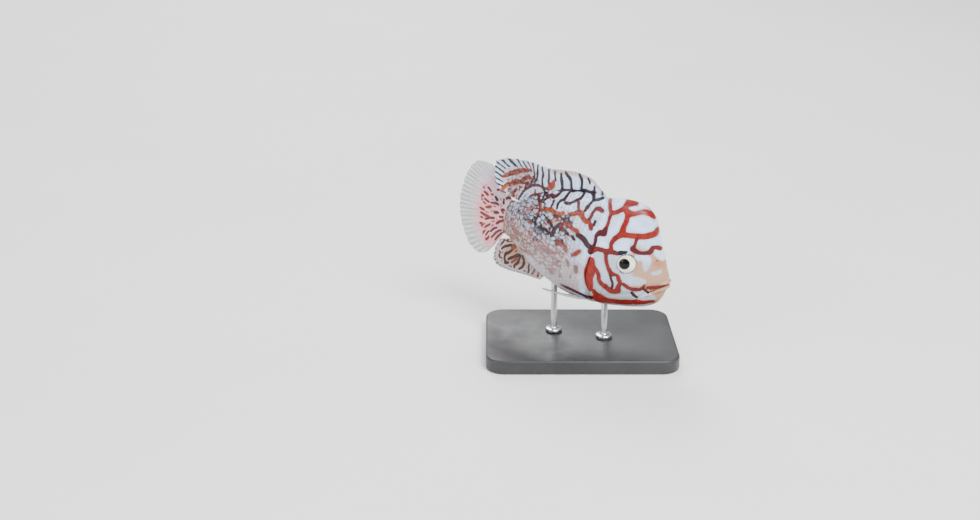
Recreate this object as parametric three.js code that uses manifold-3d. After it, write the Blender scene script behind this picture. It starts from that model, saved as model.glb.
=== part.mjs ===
// A young flowerhorn cichlid, life size, caught in a turn with its nose down and its tail swept to its left.
// It is held by a plain display stand: a flat base and two short rods.
//
// The fish is first made straight, in fish space: x is minus the distance behind the tip of the snout, y points to
// the fish's left, and z is the height over the line from the snout to the root of the tail fin. pose() then bends
// the back sideways, dips the nose and lifts the fish over its stand. Lengths are in millimetres, angles in degrees.
import * as THREE from "three";
import { mergeVertices } from "three/addons/utils/BufferGeometryUtils.js";
import Module from "manifold-3d";

const wasm = await Module();
wasm.setup();

// Driving dimensions
const STANDARD_LENGTH = 94; // snout to the root of the tail fin
const CAUDAL_REACH = 30; // past the root of the tail fin
const GAP = 0.3; // between one sub-part and the next
const DORSAL = { first: 39, last: 85.5, rays: 28, rows: 5, sunk: 1.6, sway: 5 };
const ANAL = { first: 59, last: 85, rays: 16, rows: 5, sunk: 1.6, sway: 3 };
const CAUDAL = { rays: 16, rows: 7, top: 8.2, bottom: -7.6 };
const PECTORAL = { rays: 13, rows: 5, back: 40, slant: 0.8, up: -1.2, root: 6.6, sunk: 1.4 };
const PELVIC = { rays: 6, rows: 6, back: 34, root: 3.6, out: 4.4, inner: 1.6, sunk: 1 };
const EYE = { back: 22, up: 5.4, radius: 5.3, thick: 3.7, sunk: 2 };
const NOSTRIL = { back: 8.6, up: 9.6, radius: 0.75, rim: 0.3 };
const LIP = { radius: 1.15, sunk: 0.35, corner: 9 };
const COVER = { thick: 2.4, proud: 0.5 };
const BASE = { long: 92, wide: 66, thick: 7, corner: 9, edge: 1.2 };
const ROD = { radius: 1.5, foot: 4, footThick: 1.6, front: 27, rear: 53.5 };

// Pose
const NOSE_DOWN = 13.5;
const TURN = { head: 12, stem: 56, tip: 10, start: 28, end: 88, flicked: 120 }; // yaw of the midline
const STAND_UNDER = 44; // the stand's middle is under this place on the midline
const SNOUT_HEIGHT = 38;

// Half thicknesses of the fins, and how far a ray's ridge spreads and the edge is notched between rays
const MEMBRANE = 0.26;
const MEMBRANE_EDGE = 0.16;
const RAY = { root: 0.6, tip: 0.36, edge: 0.2 };
const SHOULDER = 0.25;

// A smooth curve through [place, value] stations, level or rising only where they are.
function through(stations) {
  const slopes = stations.map(([x, y], i) => {
    if (i === 0 || i === stations.length - 1) {
      const [a, b] = i === 0 ? [stations[0], stations[1]] : stations.slice(-2);
      return (b[1] - a[1]) / (b[0] - a[0]);
    }
    const before = (y - stations[i - 1][1]) / (x - stations[i - 1][0]);
    const after = (stations[i + 1][1] - y) / (stations[i + 1][0] - x);
    return before * after <= 0 ? 0 : (2 * before * after) / (before + after);
  });
  return (place) => {
    const x = THREE.MathUtils.clamp(place, stations[0][0], stations.at(-1)[0]);
    let i = 0;
    while (i < stations.length - 2 && x > stations[i + 1][0]) i += 1;
    const [[x0, y0], [x1, y1]] = [stations[i], stations[i + 1]];
    const step = x1 - x0;
    const t = (x - x0) / step;
    const rise = t * t * (3 - 2 * t);
    const lead = t * (1 - t) * (1 - t) * slopes[i] - t * t * (1 - t) * slopes[i + 1];
    return y0 + (y1 - y0) * rise + lead * step;
  };
}

// The body's outline and sections, by the distance behind the snout
const back = through([
  [0, 0.6], [1, 2.6], [3, 6.2], [5.5, 11.4], [8.5, 16.8], [11, 21.8], [13.5, 26.6], [16, 29.8], [20, 32.2],
  [26, 33.3], [31, 33], [35, 31.8], [39, 31], [43.5, 31.5], [48, 31.6], [54, 30.1], [64, 26.4], [73, 21.4],
  [80, 16.4], [86, 12], [90, 9.8], [94, 9],
]);
const belly = through([
  [0, -1.4], [0.6, -5], [1.6, -8.8], [3, -11.6], [6, -14], [10, -15.9], [17, -17.9], [27, -19.7], [34, -20.2],
  [44, -19.4], [56, -17.6], [66, -15], [74, -12.4], [82, -9.9], [88, -8.7], [94, -8.4],
]);
const widest = through([[0, -0.4], [4, -2.9], [9.2, -6.4], [13, -7], [20, -4.5], [30, -2], [45, 1], [60, 2.5], [80, 1.5], [94, 0.2]]);
const halfWidth = through([
  [0, 0.8], [0.5, 2.2], [1.5, 3.4], [4, 4.8], [8, 6], [14, 7.8], [22, 9.2], [30, 10], [36, 10.2], [44, 9.9],
  [56, 8.6], [68, 6.6], [80, 4.4], [88, 3], [92, 2.2], [94, 1.3],
]);
const upperRoundness = through([[0, 2], [10, 2.2], [20, 2.7], [30, 2.6], [38, 2.2], [50, 1.9], [94, 1.9]]);
const lowerRoundness = through([[0, 2], [10, 2], [25, 1.9], [40, 2.2], [60, 2], [94, 1.9]]);

// Half the body's width at a distance behind the snout and a height.
function sideAt(distance, height) {
  const level = widest(distance);
  const [reach, roundness] =
    height > level
      ? [back(distance) - level, upperRoundness(distance)]
      : [level - belly(distance), lowerRoundness(distance)];
  const share = Math.min(1, Math.abs(height - level) / reach);
  return halfWidth(distance) * (1 - share ** roundness) ** (1 / roundness);
}

// The height of the underside at a distance behind the snout and a distance from the middle.
function undersideAt(distance, out) {
  const roundness = lowerRoundness(distance);
  const share = Math.min(1, Math.abs(out) / halfWidth(distance));
  return widest(distance) - (widest(distance) - belly(distance)) * (1 - share ** roundness) ** (1 / roundness);
}

// The way that the side faces, on the fish's left.
function sideNormal(distance, height) {
  const step = 0.4;
  const alongX = (sideAt(distance - step, height) - sideAt(distance + step, height)) / (2 * step);
  const alongZ = (sideAt(distance, height + step) - sideAt(distance, height - step)) / (2 * step);
  return new THREE.Vector3(-alongX, 1, -alongZ).normalize();
}

// The midline, bent sideways: points every quarter of a millimetre behind the snout
const MIDLINE_STEP = 0.25;
function yawAt(distance) {
  const bent = THREE.MathUtils.smoothstep(distance, TURN.start, TURN.end);
  const flicked = THREE.MathUtils.smoothstep(distance, TURN.end, TURN.flicked);
  const yaw = TURN.head + (TURN.stem - TURN.head) * bent + (TURN.tip - TURN.stem) * flicked;
  return THREE.MathUtils.degToRad(yaw);
}
const midline = [new THREE.Vector2(0, 0)];
for (let d = MIDLINE_STEP / 2; d < STANDARD_LENGTH + CAUDAL_REACH; d += MIDLINE_STEP) {
  const step = new THREE.Vector2(-Math.cos(yawAt(d)), Math.sin(yawAt(d))).multiplyScalar(MIDLINE_STEP);
  midline.push(midline.at(-1).clone().add(step));
}
function midlineAt(distance) {
  if (distance <= 0) return new THREE.Vector2(-distance * Math.cos(yawAt(0)), distance * Math.sin(yawAt(0)));
  const place = Math.min(distance / MIDLINE_STEP, midline.length - 1.001);
  const i = Math.floor(place);
  return midline[i].clone().lerp(midline[i + 1], place - i);
}

// From fish space to its place over the stand.
const dip = new THREE.Matrix4().makeRotationY(THREE.MathUtils.degToRad(NOSE_DOWN));
function bendAndDip(p) {
  const middle = midlineAt(-p.x);
  const yaw = yawAt(-p.x);
  return new THREE.Vector3(middle.x + p.y * Math.sin(yaw), middle.y + p.y * Math.cos(yaw), p.z).applyMatrix4(dip);
}
const overStand = bendAndDip(new THREE.Vector3(-STAND_UNDER, 0, 0));
const lift = new THREE.Vector3(-overStand.x, -overStand.y, SNOUT_HEIGHT);
const pose = (p) => bendAndDip(p).add(lift);

// Geometry to solid and back
function mapped(geometry, place) {
  const position = geometry.getAttribute("position");
  const p = new THREE.Vector3();
  for (let i = 0; i < position.count; i += 1) {
    p.fromBufferAttribute(position, i);
    const q = place(p);
    position.setXYZ(i, q.x, q.y, q.z);
  }
  return geometry;
}
function solidOf(geometry) {
  const bare = geometry.clone();
  for (const name of ["normal", "uv"]) bare.deleteAttribute(name);
  const merged = mergeVertices(bare, 1e-4);
  return new wasm.Manifold(
    new wasm.Mesh({
      numProp: 3,
      vertProperties: new Float32Array(merged.getAttribute("position").array),
      triVerts: new Uint32Array(merged.index.array),
    }),
  );
}
function geometryOf(solid) {
  const mesh = solid.getMesh();
  const geometry = new THREE.BufferGeometry();
  geometry.setAttribute("position", new THREE.BufferAttribute(new Float32Array(mesh.vertProperties), 3));
  geometry.setIndex(new THREE.BufferAttribute(new Uint32Array(mesh.triVerts), 1));
  return geometry;
}
const largest = (solid) => solid.decompose().sort((a, b) => b.volume() - a.volume())[0];

// The body as one closed solid, made from a cylinder whose rings become the sections. grow moves its skin outwards.
const BODY_RINGS = 56;
const BODY_SIDES = 28;
const ringPlace = through([[0, 0], [0.1, 1.8], [0.32, 15], [0.72, 56], [1, STANDARD_LENGTH]]);
function bodySolid(grow) {
  const start = new THREE.CylinderGeometry(1, 1, 1, BODY_SIDES, BODY_RINGS);
  const shaped = mapped(start, (p) => {
    const distance = ringPlace(0.5 - p.y);
    const level = widest(distance);
    const reach = p.x > 0 ? back(distance) - level : level - belly(distance);
    const roundness = p.x > 0 ? upperRoundness(distance) : lowerRoundness(distance);
    const bulge = (x) => Math.sign(x) * Math.abs(x) ** (2 / roundness);
    const out = (halfWidth(distance) + grow) * bulge(p.z);
    return new THREE.Vector3(-distance, out, level + (reach + grow) * bulge(p.x));
  });
  return solidOf(shaped);
}

// A prism of an outline given by [distance behind the snout, height], from one side place to another.
function prism(outline, from, to) {
  const shape = new THREE.Shape(outline.map(([distance, height]) => new THREE.Vector2(-distance, height)));
  const block = new THREE.ExtrudeGeometry(shape, { depth: to - from, bevelEnabled: false });
  return solidOf(mapped(block, (p) => new THREE.Vector3(p.x, to - p.z, p.y)));
}
// A smooth line through [distance, height] points, as points.
function smoothLine(points, count) {
  const spline = new THREE.SplineCurve(points.map(([distance, height]) => new THREE.Vector2(distance, height)));
  return spline.getPoints(count);
}
// The line beside a line, to its left by a distance.
function beside(line, distance) {
  return line.map((p, i) => {
    const along = line[Math.min(i + 1, line.length - 1)].clone().sub(line[Math.max(i - 1, 0)]).normalize();
    return [p.x - along.y * distance, p.y + along.x * distance];
  });
}
const BEYOND = 30; // past the fish on either side
function thinCut(points, count) {
  const line = smoothLine(points, count);
  return prism([...beside(line, GAP / 2), ...beside(line, -GAP / 2).reverse()], -BEYOND, BEYOND);
}

// The lines that part the body
const neckLine = [[38.5, 40], [37.6, 26], [37.6, 14], [38.5, 4], [38.2, -5], [35.8, -12], [31.8, -17.6], [29.5, -26]];
const stemLine = [[84, 24], [83.4, 0], [84, -20]];
const mouthLine = [[-3, 1.6], [0, -0.4], [4, -2.9], [9.2, -6.4], [12.4, -11], [14.2, -24]];
const coverFront = [[40, 11], [34.6, 12.8], [30.9, 11.6], [28.9, 5], [28.2, -3], [28.8, -10.5], [31.4, -16.6], [38, -20]];

// The two largest pieces of a solid after a cut, the one nearer the snout first.
function parted(solid, cut) {
  const pieces = solid.subtract(cut).decompose();
  pieces.sort((a, b) => b.volume() - a.volume());
  return pieces.slice(0, 2).sort((a, b) => b.boundingBox().max[0] - a.boundingBox().max[0]);
}

// A roll of flesh along the edge of the mouth, above it (side 1) or below it (side -1)
function lipSolid(side) {
  const edge = (distance, hand, sunk) => {
    const height = widest(distance) + side * LIP.radius * 0.9;
    return new THREE.Vector3(-distance, hand * (sideAt(distance, height) - sunk), height);
  };
  const rim = [];
  for (const hand of [1, -1]) {
    const half = [edge(LIP.corner + 1.4, hand, LIP.radius)];
    for (let step = 5; step > 0; step -= 1) half.push(edge((LIP.corner * step * step) / 25, hand, LIP.sunk));
    rim.push(...(hand > 0 ? half : half.reverse()));
  }
  const section = new THREE.Shape().absarc(0, 0, LIP.radius, 0, 2 * Math.PI);
  const path = new THREE.CatmullRomCurve3(rim);
  return solidOf(new THREE.ExtrudeGeometry(section, { steps: 18, curveSegments: 3, bevelEnabled: false, extrudePath: path }));
}

// A geometry made about the origin, facing +z, moved onto the side of the head so that it faces out.
function onSide(geometry, hand, place, sunk) {
  const out = sideNormal(place.back, place.up).multiply(new THREE.Vector3(1, hand, 1));
  const at = new THREE.Vector3(-place.back, hand * sideAt(place.back, place.up), place.up);
  const turned = new THREE.Quaternion().setFromUnitVectors(new THREE.Vector3(0, 0, 1), out);
  return geometry.applyQuaternion(turned).translate(...at.addScaledVector(out, -sunk).toArray());
}
function eyeball(hand, grow) {
  const ball = new THREE.SphereGeometry(1, 18, 10).rotateX(Math.PI / 2);
  ball.scale(EYE.radius + grow, EYE.radius + grow, EYE.thick + grow);
  return solidOf(onSide(ball, hand, EYE, EYE.sunk));
}
function withNostrils(head) {
  let done = head;
  for (const hand of [1, -1]) {
    const rim = new THREE.TorusGeometry(NOSTRIL.radius, NOSTRIL.rim, 6, 12);
    const pit = new THREE.SphereGeometry(NOSTRIL.radius, 10, 6);
    done = done.add(solidOf(onSide(rim, hand, NOSTRIL, 0))).subtract(solidOf(onSide(pit, hand, NOSTRIL, 0)));
  }
  return done;
}

// The flesh: body and lips, parted by thin cuts, with the gill covers let into the head
function fleshSolids() {
  const whole = bodySolid(0).add(lipSolid(1)).add(lipSolid(-1));
  const neck = thinCut(neckLine, 26);
  const [front, rear] = parted(whole, neck);
  const [trunk, stem] = parted(rear, thinCut(stemLine, 4));
  const [jaw, upper] = parted(front, thinCut(mouthLine, 18));
  const [raised] = parted(bodySolid(COVER.proud), neck);
  const coverLine = smoothLine(coverFront, 20);
  const covers = {};
  let head = withNostrils(upper);
  for (const [name, from, to] of [["left", 0, BEYOND], ["right", -BEYOND, 0]]) {
    const bed = prism(beside(coverLine, 0), from, to).subtract(bodySolid(-COVER.thick - GAP));
    const flap = raised.intersect(prism(beside(coverLine, GAP), from, to));
    covers[name] = largest(flap.subtract(bodySolid(-COVER.thick)));
    head = head.subtract(bed);
  }
  for (const hand of [1, -1]) head = head.subtract(eyeball(hand, GAP));
  return { head: largest(head), jaw: largest(jaw), trunk: largest(trunk), stem: largest(stem), covers };
}

// A fin as one closed solid. place(u, v) gives its middle surface from the root (v = 0) to the edge (v = 1), with a
// ray at each whole u. Both faces are split into triangles alike.
function finSolid(rays, rows, notch, place) {
  const columns = [];
  for (let ray = 0; ray < rays; ray += 1) {
    if (ray > 0) columns.push(ray - SHOULDER);
    columns.push(ray);
    if (ray < rays - 1) columns.push(ray + SHOULDER);
  }
  const clampU = (u) => THREE.MathUtils.clamp(u, 0, rays - 1);
  const clampV = (v) => THREE.MathUtils.clamp(v, 0, 1);
  const facing = (u, v) => {
    const across = place(clampU(u + 0.1), v).sub(place(clampU(u - 0.1), v));
    const along = place(u, clampV(v + 0.02)).sub(place(u, clampV(v - 0.02)));
    return across.cross(along).normalize();
  };
  const points = [];
  for (const hand of [1, -1]) {
    for (const u of columns) {
      for (let row = 0; row <= rows; row += 1) {
        const onRay = Number.isInteger(u);
        const v = (row / rows) * (onRay ? 1 : 1 - notch);
        const inner = onRay ? THREE.MathUtils.lerp(RAY.root, RAY.tip, v) : MEMBRANE;
        const edge = onRay ? RAY.edge : MEMBRANE_EDGE;
        const half = row === rows ? edge : inner;
        points.push(...place(u, v).addScaledVector(facing(u, v), hand * half).toArray());
      }
    }
  }
  const faces = [];
  const other = (points.length / 3) / 2;
  const across = rows + 1;
  for (let c = 0; c < columns.length - 1; c += 1) {
    for (let row = 0; row < rows; row += 1) {
      const a = c * across + row;
      const [b, d, e] = [a + across, a + 1, a + across + 1];
      faces.push(a, b, e, a, e, d);
      faces.push(a + other, e + other, b + other, a + other, d + other, e + other);
    }
  }
  const wall = (a, b) => faces.push(a, a + other, b, b, a + other, b + other);
  for (let c = 0; c < columns.length - 1; c += 1) {
    wall(c * across, (c + 1) * across);
    wall((c + 1) * across + rows, c * across + rows);
  }
  const last = (columns.length - 1) * across;
  for (let row = 0; row < rows; row += 1) {
    wall(row + 1, row);
    wall(last + row, last + row + 1);
  }
  const geometry = new THREE.BufferGeometry();
  geometry.setAttribute("position", new THREE.Float32BufferAttribute(points, 3));
  geometry.setIndex(faces);
  const solid = solidOf(geometry);
  return solid.volume() > 0 ? solid : solidOf(geometry.setIndex(faces.reverse()));
}

// Tips of the middle fins' rays, by the share of the way from the first ray to the last
const dorsalTip = {
  back: through([[0, 41], [0.1, 44.5], [0.2, 50], [0.3, 56], [0.4, 61.5], [0.5, 67], [0.6, 73.5], [0.7, 84], [0.78, 95],
    [0.86, 108], [0.93, 106], [1, 98]]),
  up: through([[0, 32.6], [0.1, 34.9], [0.2, 38], [0.3, 38.3], [0.4, 37.4], [0.5, 35.8], [0.6, 34.2], [0.7, 33],
    [0.78, 30.8], [0.86, 25.4], [0.93, 20], [1, 14.6]]),
};
const analTip = {
  back: through([[0, 61.5], [0.2, 68], [0.4, 76], [0.55, 83], [0.7, 90], [0.82, 94.5], [0.92, 94], [1, 90.5]]),
  up: through([[0, -19.8], [0.2, -20.8], [0.4, -22.5], [0.55, -24.1], [0.7, -24.8], [0.82, -22], [0.92, -17.5],
    [1, -12.8]]),
};
const caudalTip = {
  back: through([[0, 106], [0.08, 112], [0.17, 117.5], [0.27, 121], [0.4, 122.8], [0.5, 123], [0.6, 122],
    [0.7, 120], [0.8, 116.5], [0.9, 111], [0.96, 106], [1, 101.5]]),
  up: through([[0, 17.5], [0.08, 22.4], [0.17, 22.2], [0.27, 18.5], [0.4, 11], [0.5, 4], [0.6, -3], [0.7, -9.5],
    [0.8, -16.5], [0.9, -23], [0.96, -24.6], [1, -22]]),
};

function dorsalFin() {
  return finSolid(DORSAL.rays, DORSAL.rows, 0.05, (u, v) => {
    const share = u / (DORSAL.rays - 1);
    const rootBack = THREE.MathUtils.lerp(DORSAL.first, DORSAL.last, share);
    const root = new THREE.Vector3(-rootBack, 0, back(rootBack) - DORSAL.sunk);
    const tip = new THREE.Vector3(-dorsalTip.back(share), 0, dorsalTip.up(share));
    const p = root.lerp(tip, v);
    p.y = -DORSAL.sway * v * v * THREE.MathUtils.smoothstep(share, 0.5, 1);
    return p;
  });
}
function analFin() {
  return finSolid(ANAL.rays, ANAL.rows, 0.04, (u, v) => {
    const share = u / (ANAL.rays - 1);
    const rootBack = THREE.MathUtils.lerp(ANAL.first, ANAL.last, share);
    const root = new THREE.Vector3(-rootBack, 0, belly(rootBack) + ANAL.sunk);
    const tip = new THREE.Vector3(-analTip.back(share), 0, analTip.up(share));
    const p = root.lerp(tip, v);
    p.y = -ANAL.sway * v * v * THREE.MathUtils.smoothstep(share, 0.3, 1);
    return p;
  });
}
function caudalFin() {
  return finSolid(CAUDAL.rays, CAUDAL.rows, 0.02, (u, v) => {
    const share = u / (CAUDAL.rays - 1);
    const root = new THREE.Vector3(-STANDARD_LENGTH - GAP, 0, THREE.MathUtils.lerp(CAUDAL.top, CAUDAL.bottom, share));
    const tip = new THREE.Vector3(-caudalTip.back(share), 0, caudalTip.up(share));
    const p = root.lerp(tip, v);
    p.y = 0.5 * v * Math.sin(share * 9);
    return p;
  });
}

// The pectoral fin fans back from just behind the gill cover, and stands off the flank.
const pectoralLength = through([[0, 17], [0.25, 23], [0.5, 22], [0.8, 16], [1, 10]]);
function pectoralFin(hand, standOff) {
  const out = THREE.MathUtils.degToRad(standOff);
  return finSolid(PECTORAL.rays, PECTORAL.rows, 0.03, (u, v) => {
    const share = u / (PECTORAL.rays - 1);
    const fan = THREE.MathUtils.degToRad(THREE.MathUtils.lerp(24, -42, share));
    const from = { back: PECTORAL.back + PECTORAL.slant * share, up: PECTORAL.up - PECTORAL.root * share };
    const reach = v * pectoralLength(share);
    const lift = 2.6 * (1 - Math.exp(-reach / 1.6));
    const side = sideAt(from.back, from.up) - PECTORAL.sunk + lift + reach * Math.sin(out);
    const along = reach * Math.cos(out) * Math.cos(fan);
    return new THREE.Vector3(-from.back - along, hand * side, from.up + reach * Math.sin(fan));
  });
}

// The pelvic fin lies back under the belly, its spine outermost.
const pelvicTip = {
  back: through([[0, 55.5], [0.2, 56.5], [0.5, 52.5], [0.8, 48], [1, 45.5]]),
  out: through([[0, 6.8], [1, 1.3]]),
  up: through([[0, -20.9], [0.5, -21.1], [1, -20.9]]),
};
function pelvicFin(hand) {
  return finSolid(PELVIC.rays, PELVIC.rows, 0.03, (u, v) => {
    const share = u / (PELVIC.rays - 1);
    const from = PELVIC.back + PELVIC.root * share;
    const out = THREE.MathUtils.lerp(PELVIC.out, PELVIC.inner, share);
    const root = new THREE.Vector3(-from, out, undersideAt(from, out) + PELVIC.sunk);
    const tip = new THREE.Vector3(-pelvicTip.back(share), pelvicTip.out(share), pelvicTip.up(share));
    const p = root.lerp(tip, v);
    return new THREE.Vector3(p.x, hand * p.y, p.z - 1.6 * (1 - Math.exp(-8 * v)) * (1 - v));
  });
}

// The stand
function baseGeometry() {
  const [x, y] = [BASE.long / 2 - BASE.edge, BASE.wide / 2 - BASE.edge];
  const r = BASE.corner - BASE.edge;
  const outline = new THREE.Shape();
  outline.absarc(x - r, y - r, r, 0, Math.PI / 2);
  outline.absarc(r - x, y - r, r, Math.PI / 2, Math.PI);
  outline.absarc(r - x, r - y, r, Math.PI, 1.5 * Math.PI);
  outline.absarc(x - r, r - y, r, 1.5 * Math.PI, 2 * Math.PI);
  const block = new THREE.ExtrudeGeometry(outline, {
    depth: BASE.thick - 2 * BASE.edge,
    curveSegments: 4,
    bevelThickness: BASE.edge,
    bevelSize: BASE.edge,
    bevelSegments: 1,
  });
  return block.translate(0, 0, BASE.edge);
}
function rodSolid(distance, posedBody) {
  const foot = pose(new THREE.Vector3(-distance, 0, belly(distance)));
  const bottom = BASE.thick + GAP;
  const high = foot.z + 3 - bottom;
  const rod = new THREE.CylinderGeometry(ROD.radius, ROD.radius, high, 16).rotateX(Math.PI / 2);
  const disc = new THREE.CylinderGeometry(ROD.foot, ROD.foot, ROD.footThick, 24).rotateX(Math.PI / 2);
  rod.translate(foot.x, foot.y, bottom + high / 2);
  disc.translate(foot.x, foot.y, bottom + ROD.footThick / 2);
  return largest(solidOf(rod).add(solidOf(disc)).subtract(posedBody));
}

// The whole model
const finish = {
  skin: { color: 0x9fa7a6, roughness: 0.38, metalness: 0 },
  fin: { color: 0x8d8078, roughness: 0.4, metalness: 0 },
  eye: { color: 0xd9d6b8, roughness: 0.12, metalness: 0 },
  base: { color: 0x26282b, roughness: 0.5, metalness: 0 },
  rod: { color: 0xb4b6b8, roughness: 0.3, metalness: 1 },
};
const flowerhorn = new THREE.Group();
function addNode(name, geometry, look) {
  const mesh = new THREE.Mesh(geometry, new THREE.MeshStandardMaterial(look));
  mesh.name = name;
  flowerhorn.add(mesh);
}
const addPosed = (name, solid, look) => addNode(name, mapped(geometryOf(solid), pose), look);

const grownBody = bodySolid(GAP);
const posedBody = solidOf(mapped(geometryOf(grownBody), pose));
const offBody = (fin) => largest(fin.subtract(grownBody));
const flesh = fleshSolids();
addPosed("head", flesh.head, finish.skin);
addPosed("lower_jaw", flesh.jaw, finish.skin);
addPosed("trunk", flesh.trunk, finish.skin);
addPosed("tail_stem", flesh.stem, finish.skin);
addPosed("dorsal_fin", offBody(dorsalFin()), finish.fin);
addPosed("anal_fin", offBody(analFin()), finish.fin);
addPosed("caudal_fin", caudalFin(), finish.fin);
for (const [name, hand, standOff] of [["left", 1, 24], ["right", -1, 13]]) {
  addPosed(`gill_cover_${name}`, flesh.covers[name], finish.skin);
  addPosed(`eye_${name}`, eyeball(hand, 0), finish.eye);
  addPosed(`pectoral_fin_${name}`, offBody(pectoralFin(hand, standOff)), finish.fin);
  addPosed(`pelvic_fin_${name}`, offBody(pelvicFin(hand)), finish.fin);
}
addNode("stand_base", baseGeometry(), finish.base);
addNode("stand_rod_front", geometryOf(rodSolid(ROD.front, posedBody)), finish.rod);
addNode("stand_rod_rear", geometryOf(rodSolid(ROD.rear, posedBody)), finish.rod);

export default flowerhorn;
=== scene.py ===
"""A young flowerhorn cichlid, life size, on a plain display stand.

The fish is worked out in fish space and in millimetres: s is the distance behind the tip of the snout, z the
height over the line from the snout to the root of the tail fin, and lat the distance to the fish's left.
posed() bends that space sideways, dips the nose, lifts the fish over its stand, and turns it into metres.
"""
import math

import bpy
import numpy as np
from bpy.props import FloatProperty, FloatVectorProperty, IntProperty, PointerProperty
from bpy.types import Operator, Panel, PropertyGroup
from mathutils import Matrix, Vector


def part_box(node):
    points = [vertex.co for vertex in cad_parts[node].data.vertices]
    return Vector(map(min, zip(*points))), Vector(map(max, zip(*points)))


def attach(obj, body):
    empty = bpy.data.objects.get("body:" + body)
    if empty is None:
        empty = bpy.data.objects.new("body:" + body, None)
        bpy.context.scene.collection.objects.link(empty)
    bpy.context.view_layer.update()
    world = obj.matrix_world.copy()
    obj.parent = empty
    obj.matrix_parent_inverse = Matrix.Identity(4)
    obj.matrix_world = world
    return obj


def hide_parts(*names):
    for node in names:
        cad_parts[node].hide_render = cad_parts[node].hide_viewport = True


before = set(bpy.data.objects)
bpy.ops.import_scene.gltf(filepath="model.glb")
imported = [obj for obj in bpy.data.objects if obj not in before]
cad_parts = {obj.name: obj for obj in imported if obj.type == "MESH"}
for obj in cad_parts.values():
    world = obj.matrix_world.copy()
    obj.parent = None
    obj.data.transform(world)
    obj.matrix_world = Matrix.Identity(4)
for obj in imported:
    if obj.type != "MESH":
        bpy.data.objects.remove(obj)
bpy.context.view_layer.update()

bl_info = {
    "name": "Flowerhorn on a stand",
    "version": (1, 0, 0),
    "blender": (4, 5, 0),
    "location": "View3D > Sidebar > Flowerhorn",
    "description": "Builds a life-size flowerhorn cichlid with scales, rayed fins and its display stand",
    "category": "Object",
}

MM = 0.001

# Pose, as the solids have it
STANDARD_LENGTH = 94
NOSE_DOWN = 13.5
TURN = {"head": 12, "stem": 56, "tip": 10, "start": 28, "end": 88, "flicked": 120}
STAND_UNDER = 44
SNOUT_HEIGHT = 38

# Fins, as the solids have them. "over" is how far the root lies over the body's outline, "sway" how far the
# tip swings to the right, and a pectoral's "top" and "bottom" are the slopes of its outer rays in degrees.
# "per_ray" and "rows" count the faces, and "notch" is how far the edge sinks between two rays.
DORSAL = {
    "rays": 28, "per_ray": 8, "rows": 44, "notch": 0.025,
    "first": 39, "last": 85.5, "over": -1.6, "sway": 5, "sways_from": 0.5,
}
ANAL = {
    "rays": 16, "per_ray": 8, "rows": 32, "notch": 0.02,
    "first": 59, "last": 85, "over": 1.6, "sway": 3, "sways_from": 0.3,
}
CAUDAL = {
    "rays": 16, "per_ray": 12, "rows": 60, "notch": 0.012,
    "top": 8.2, "bottom": -7.6, "sunk": 0.4, "ripple": 0.5, "ripples": 9,
}
PECTORAL = {
    "rays": 13, "per_ray": 8, "rows": 30, "notch": 0.04,
    "back": 40, "slant": 0.8, "up": -1.2, "root": 6.6, "sunk": 1.4, "top": 24, "bottom": -42,
    "flare": 2.6, "flares_in": 1.6, "left_off": 24, "right_off": 13,
}
PELVIC = {
    "rays": 6, "per_ray": 12, "rows": 36, "notch": 0.04,
    "back": 34, "root": 3.6, "out": 4.4, "inner": 1.6, "sunk": 1, "swell": 1.6, "swells_by": 8,
}
THICK = {"membrane": 0.5, "ray": 1.1, "ray_taper": 0.35, "edge_taper": 0.55}

# Head
EYE = {"back": 22, "up": 5.4, "radius": 5.3, "thick": 3.7, "sunk": 2.0, "rim": 4.6, "socket": 3.2}
CORNEA = {"bulge": 0.35, "wide": 2.6}
PUPIL = {"back": 0.9, "up": 0.15, "edge": (2.75, 2.35), "gold_edge": (2.95, 2.6)}
IRIS_EDGE = (3.9, 4.7)
NOSTRIL = {"back": 8.6, "up": 9.6, "rim": 0.95, "rim_height": 0.28, "depth": 1.1}
MOUTH_CORNER = 9.2

# Stand
BASE_CORNER = {"width": 9, "steps": 14}
BASE_EDGE = {"width": 1.1, "steps": 4}
FOOT = [(0, 0), (3.7, 0), (4, 0.25), (4, 1.2), (3.7, 1.55), (2.3, 1.75), (1.8, 2.2), (1.5, 3.2)]
ROD = {"radius": 1.5, "end_radius": 1.3, "chamfer": 0.25, "sides": 48}

# Camera, from the photo: how far off, how high, and where the point it was fitted by falls in the picture
PHOTO = {"wide": 980, "high": 520, "point": (570.2, 251.1), "point_back": 50}
CAMERA = {"lens": 50, "sensor": 36, "distance": 655.5, "elevation": 20}

# Lamps: place and size in metres, and share of the key light's power
LAMPS = (
    ("key", (0.6, -0.9, 1.5), 0.9, 1),
    ("fill", (-1.4, -1.0, 0.9), 1.2, 0.3),
    ("rim", (-0.3, 1.4, 1.2), 0.8, 0.5),
)
LAMPS_AIM = (0, 0, 0.05)
FLOOR_SIZE = 30
WORLD = {"colour": (0.86, 0.89, 0.93, 1), "strength": 0.5}


def through(stations):
    """A smooth curve through (place, value) stations that never overshoots them."""
    x, y = np.array(stations, float).T
    rise = np.diff(y) / np.diff(x)
    slope = np.empty_like(x)
    slope[[0, -1]] = rise[[0, -1]]
    product = rise[:-1] * rise[1:]
    total = np.where(product > 0, rise[:-1] + rise[1:], 1)
    slope[1:-1] = np.where(product > 0, 2 * product / total, 0)

    def curve(place):
        p = np.clip(np.asarray(place, float), x[0], x[-1])
        i = np.clip(np.searchsorted(x, p, side="right") - 1, 0, len(x) - 2)
        step = x[i + 1] - x[i]
        t = (p - x[i]) / step
        lead = t * (1 - t) ** 2 * slope[i] - t * t * (1 - t) * slope[i + 1]
        return y[i] + (y[i + 1] - y[i]) * t * t * (3 - 2 * t) + lead * step

    return curve


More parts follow.
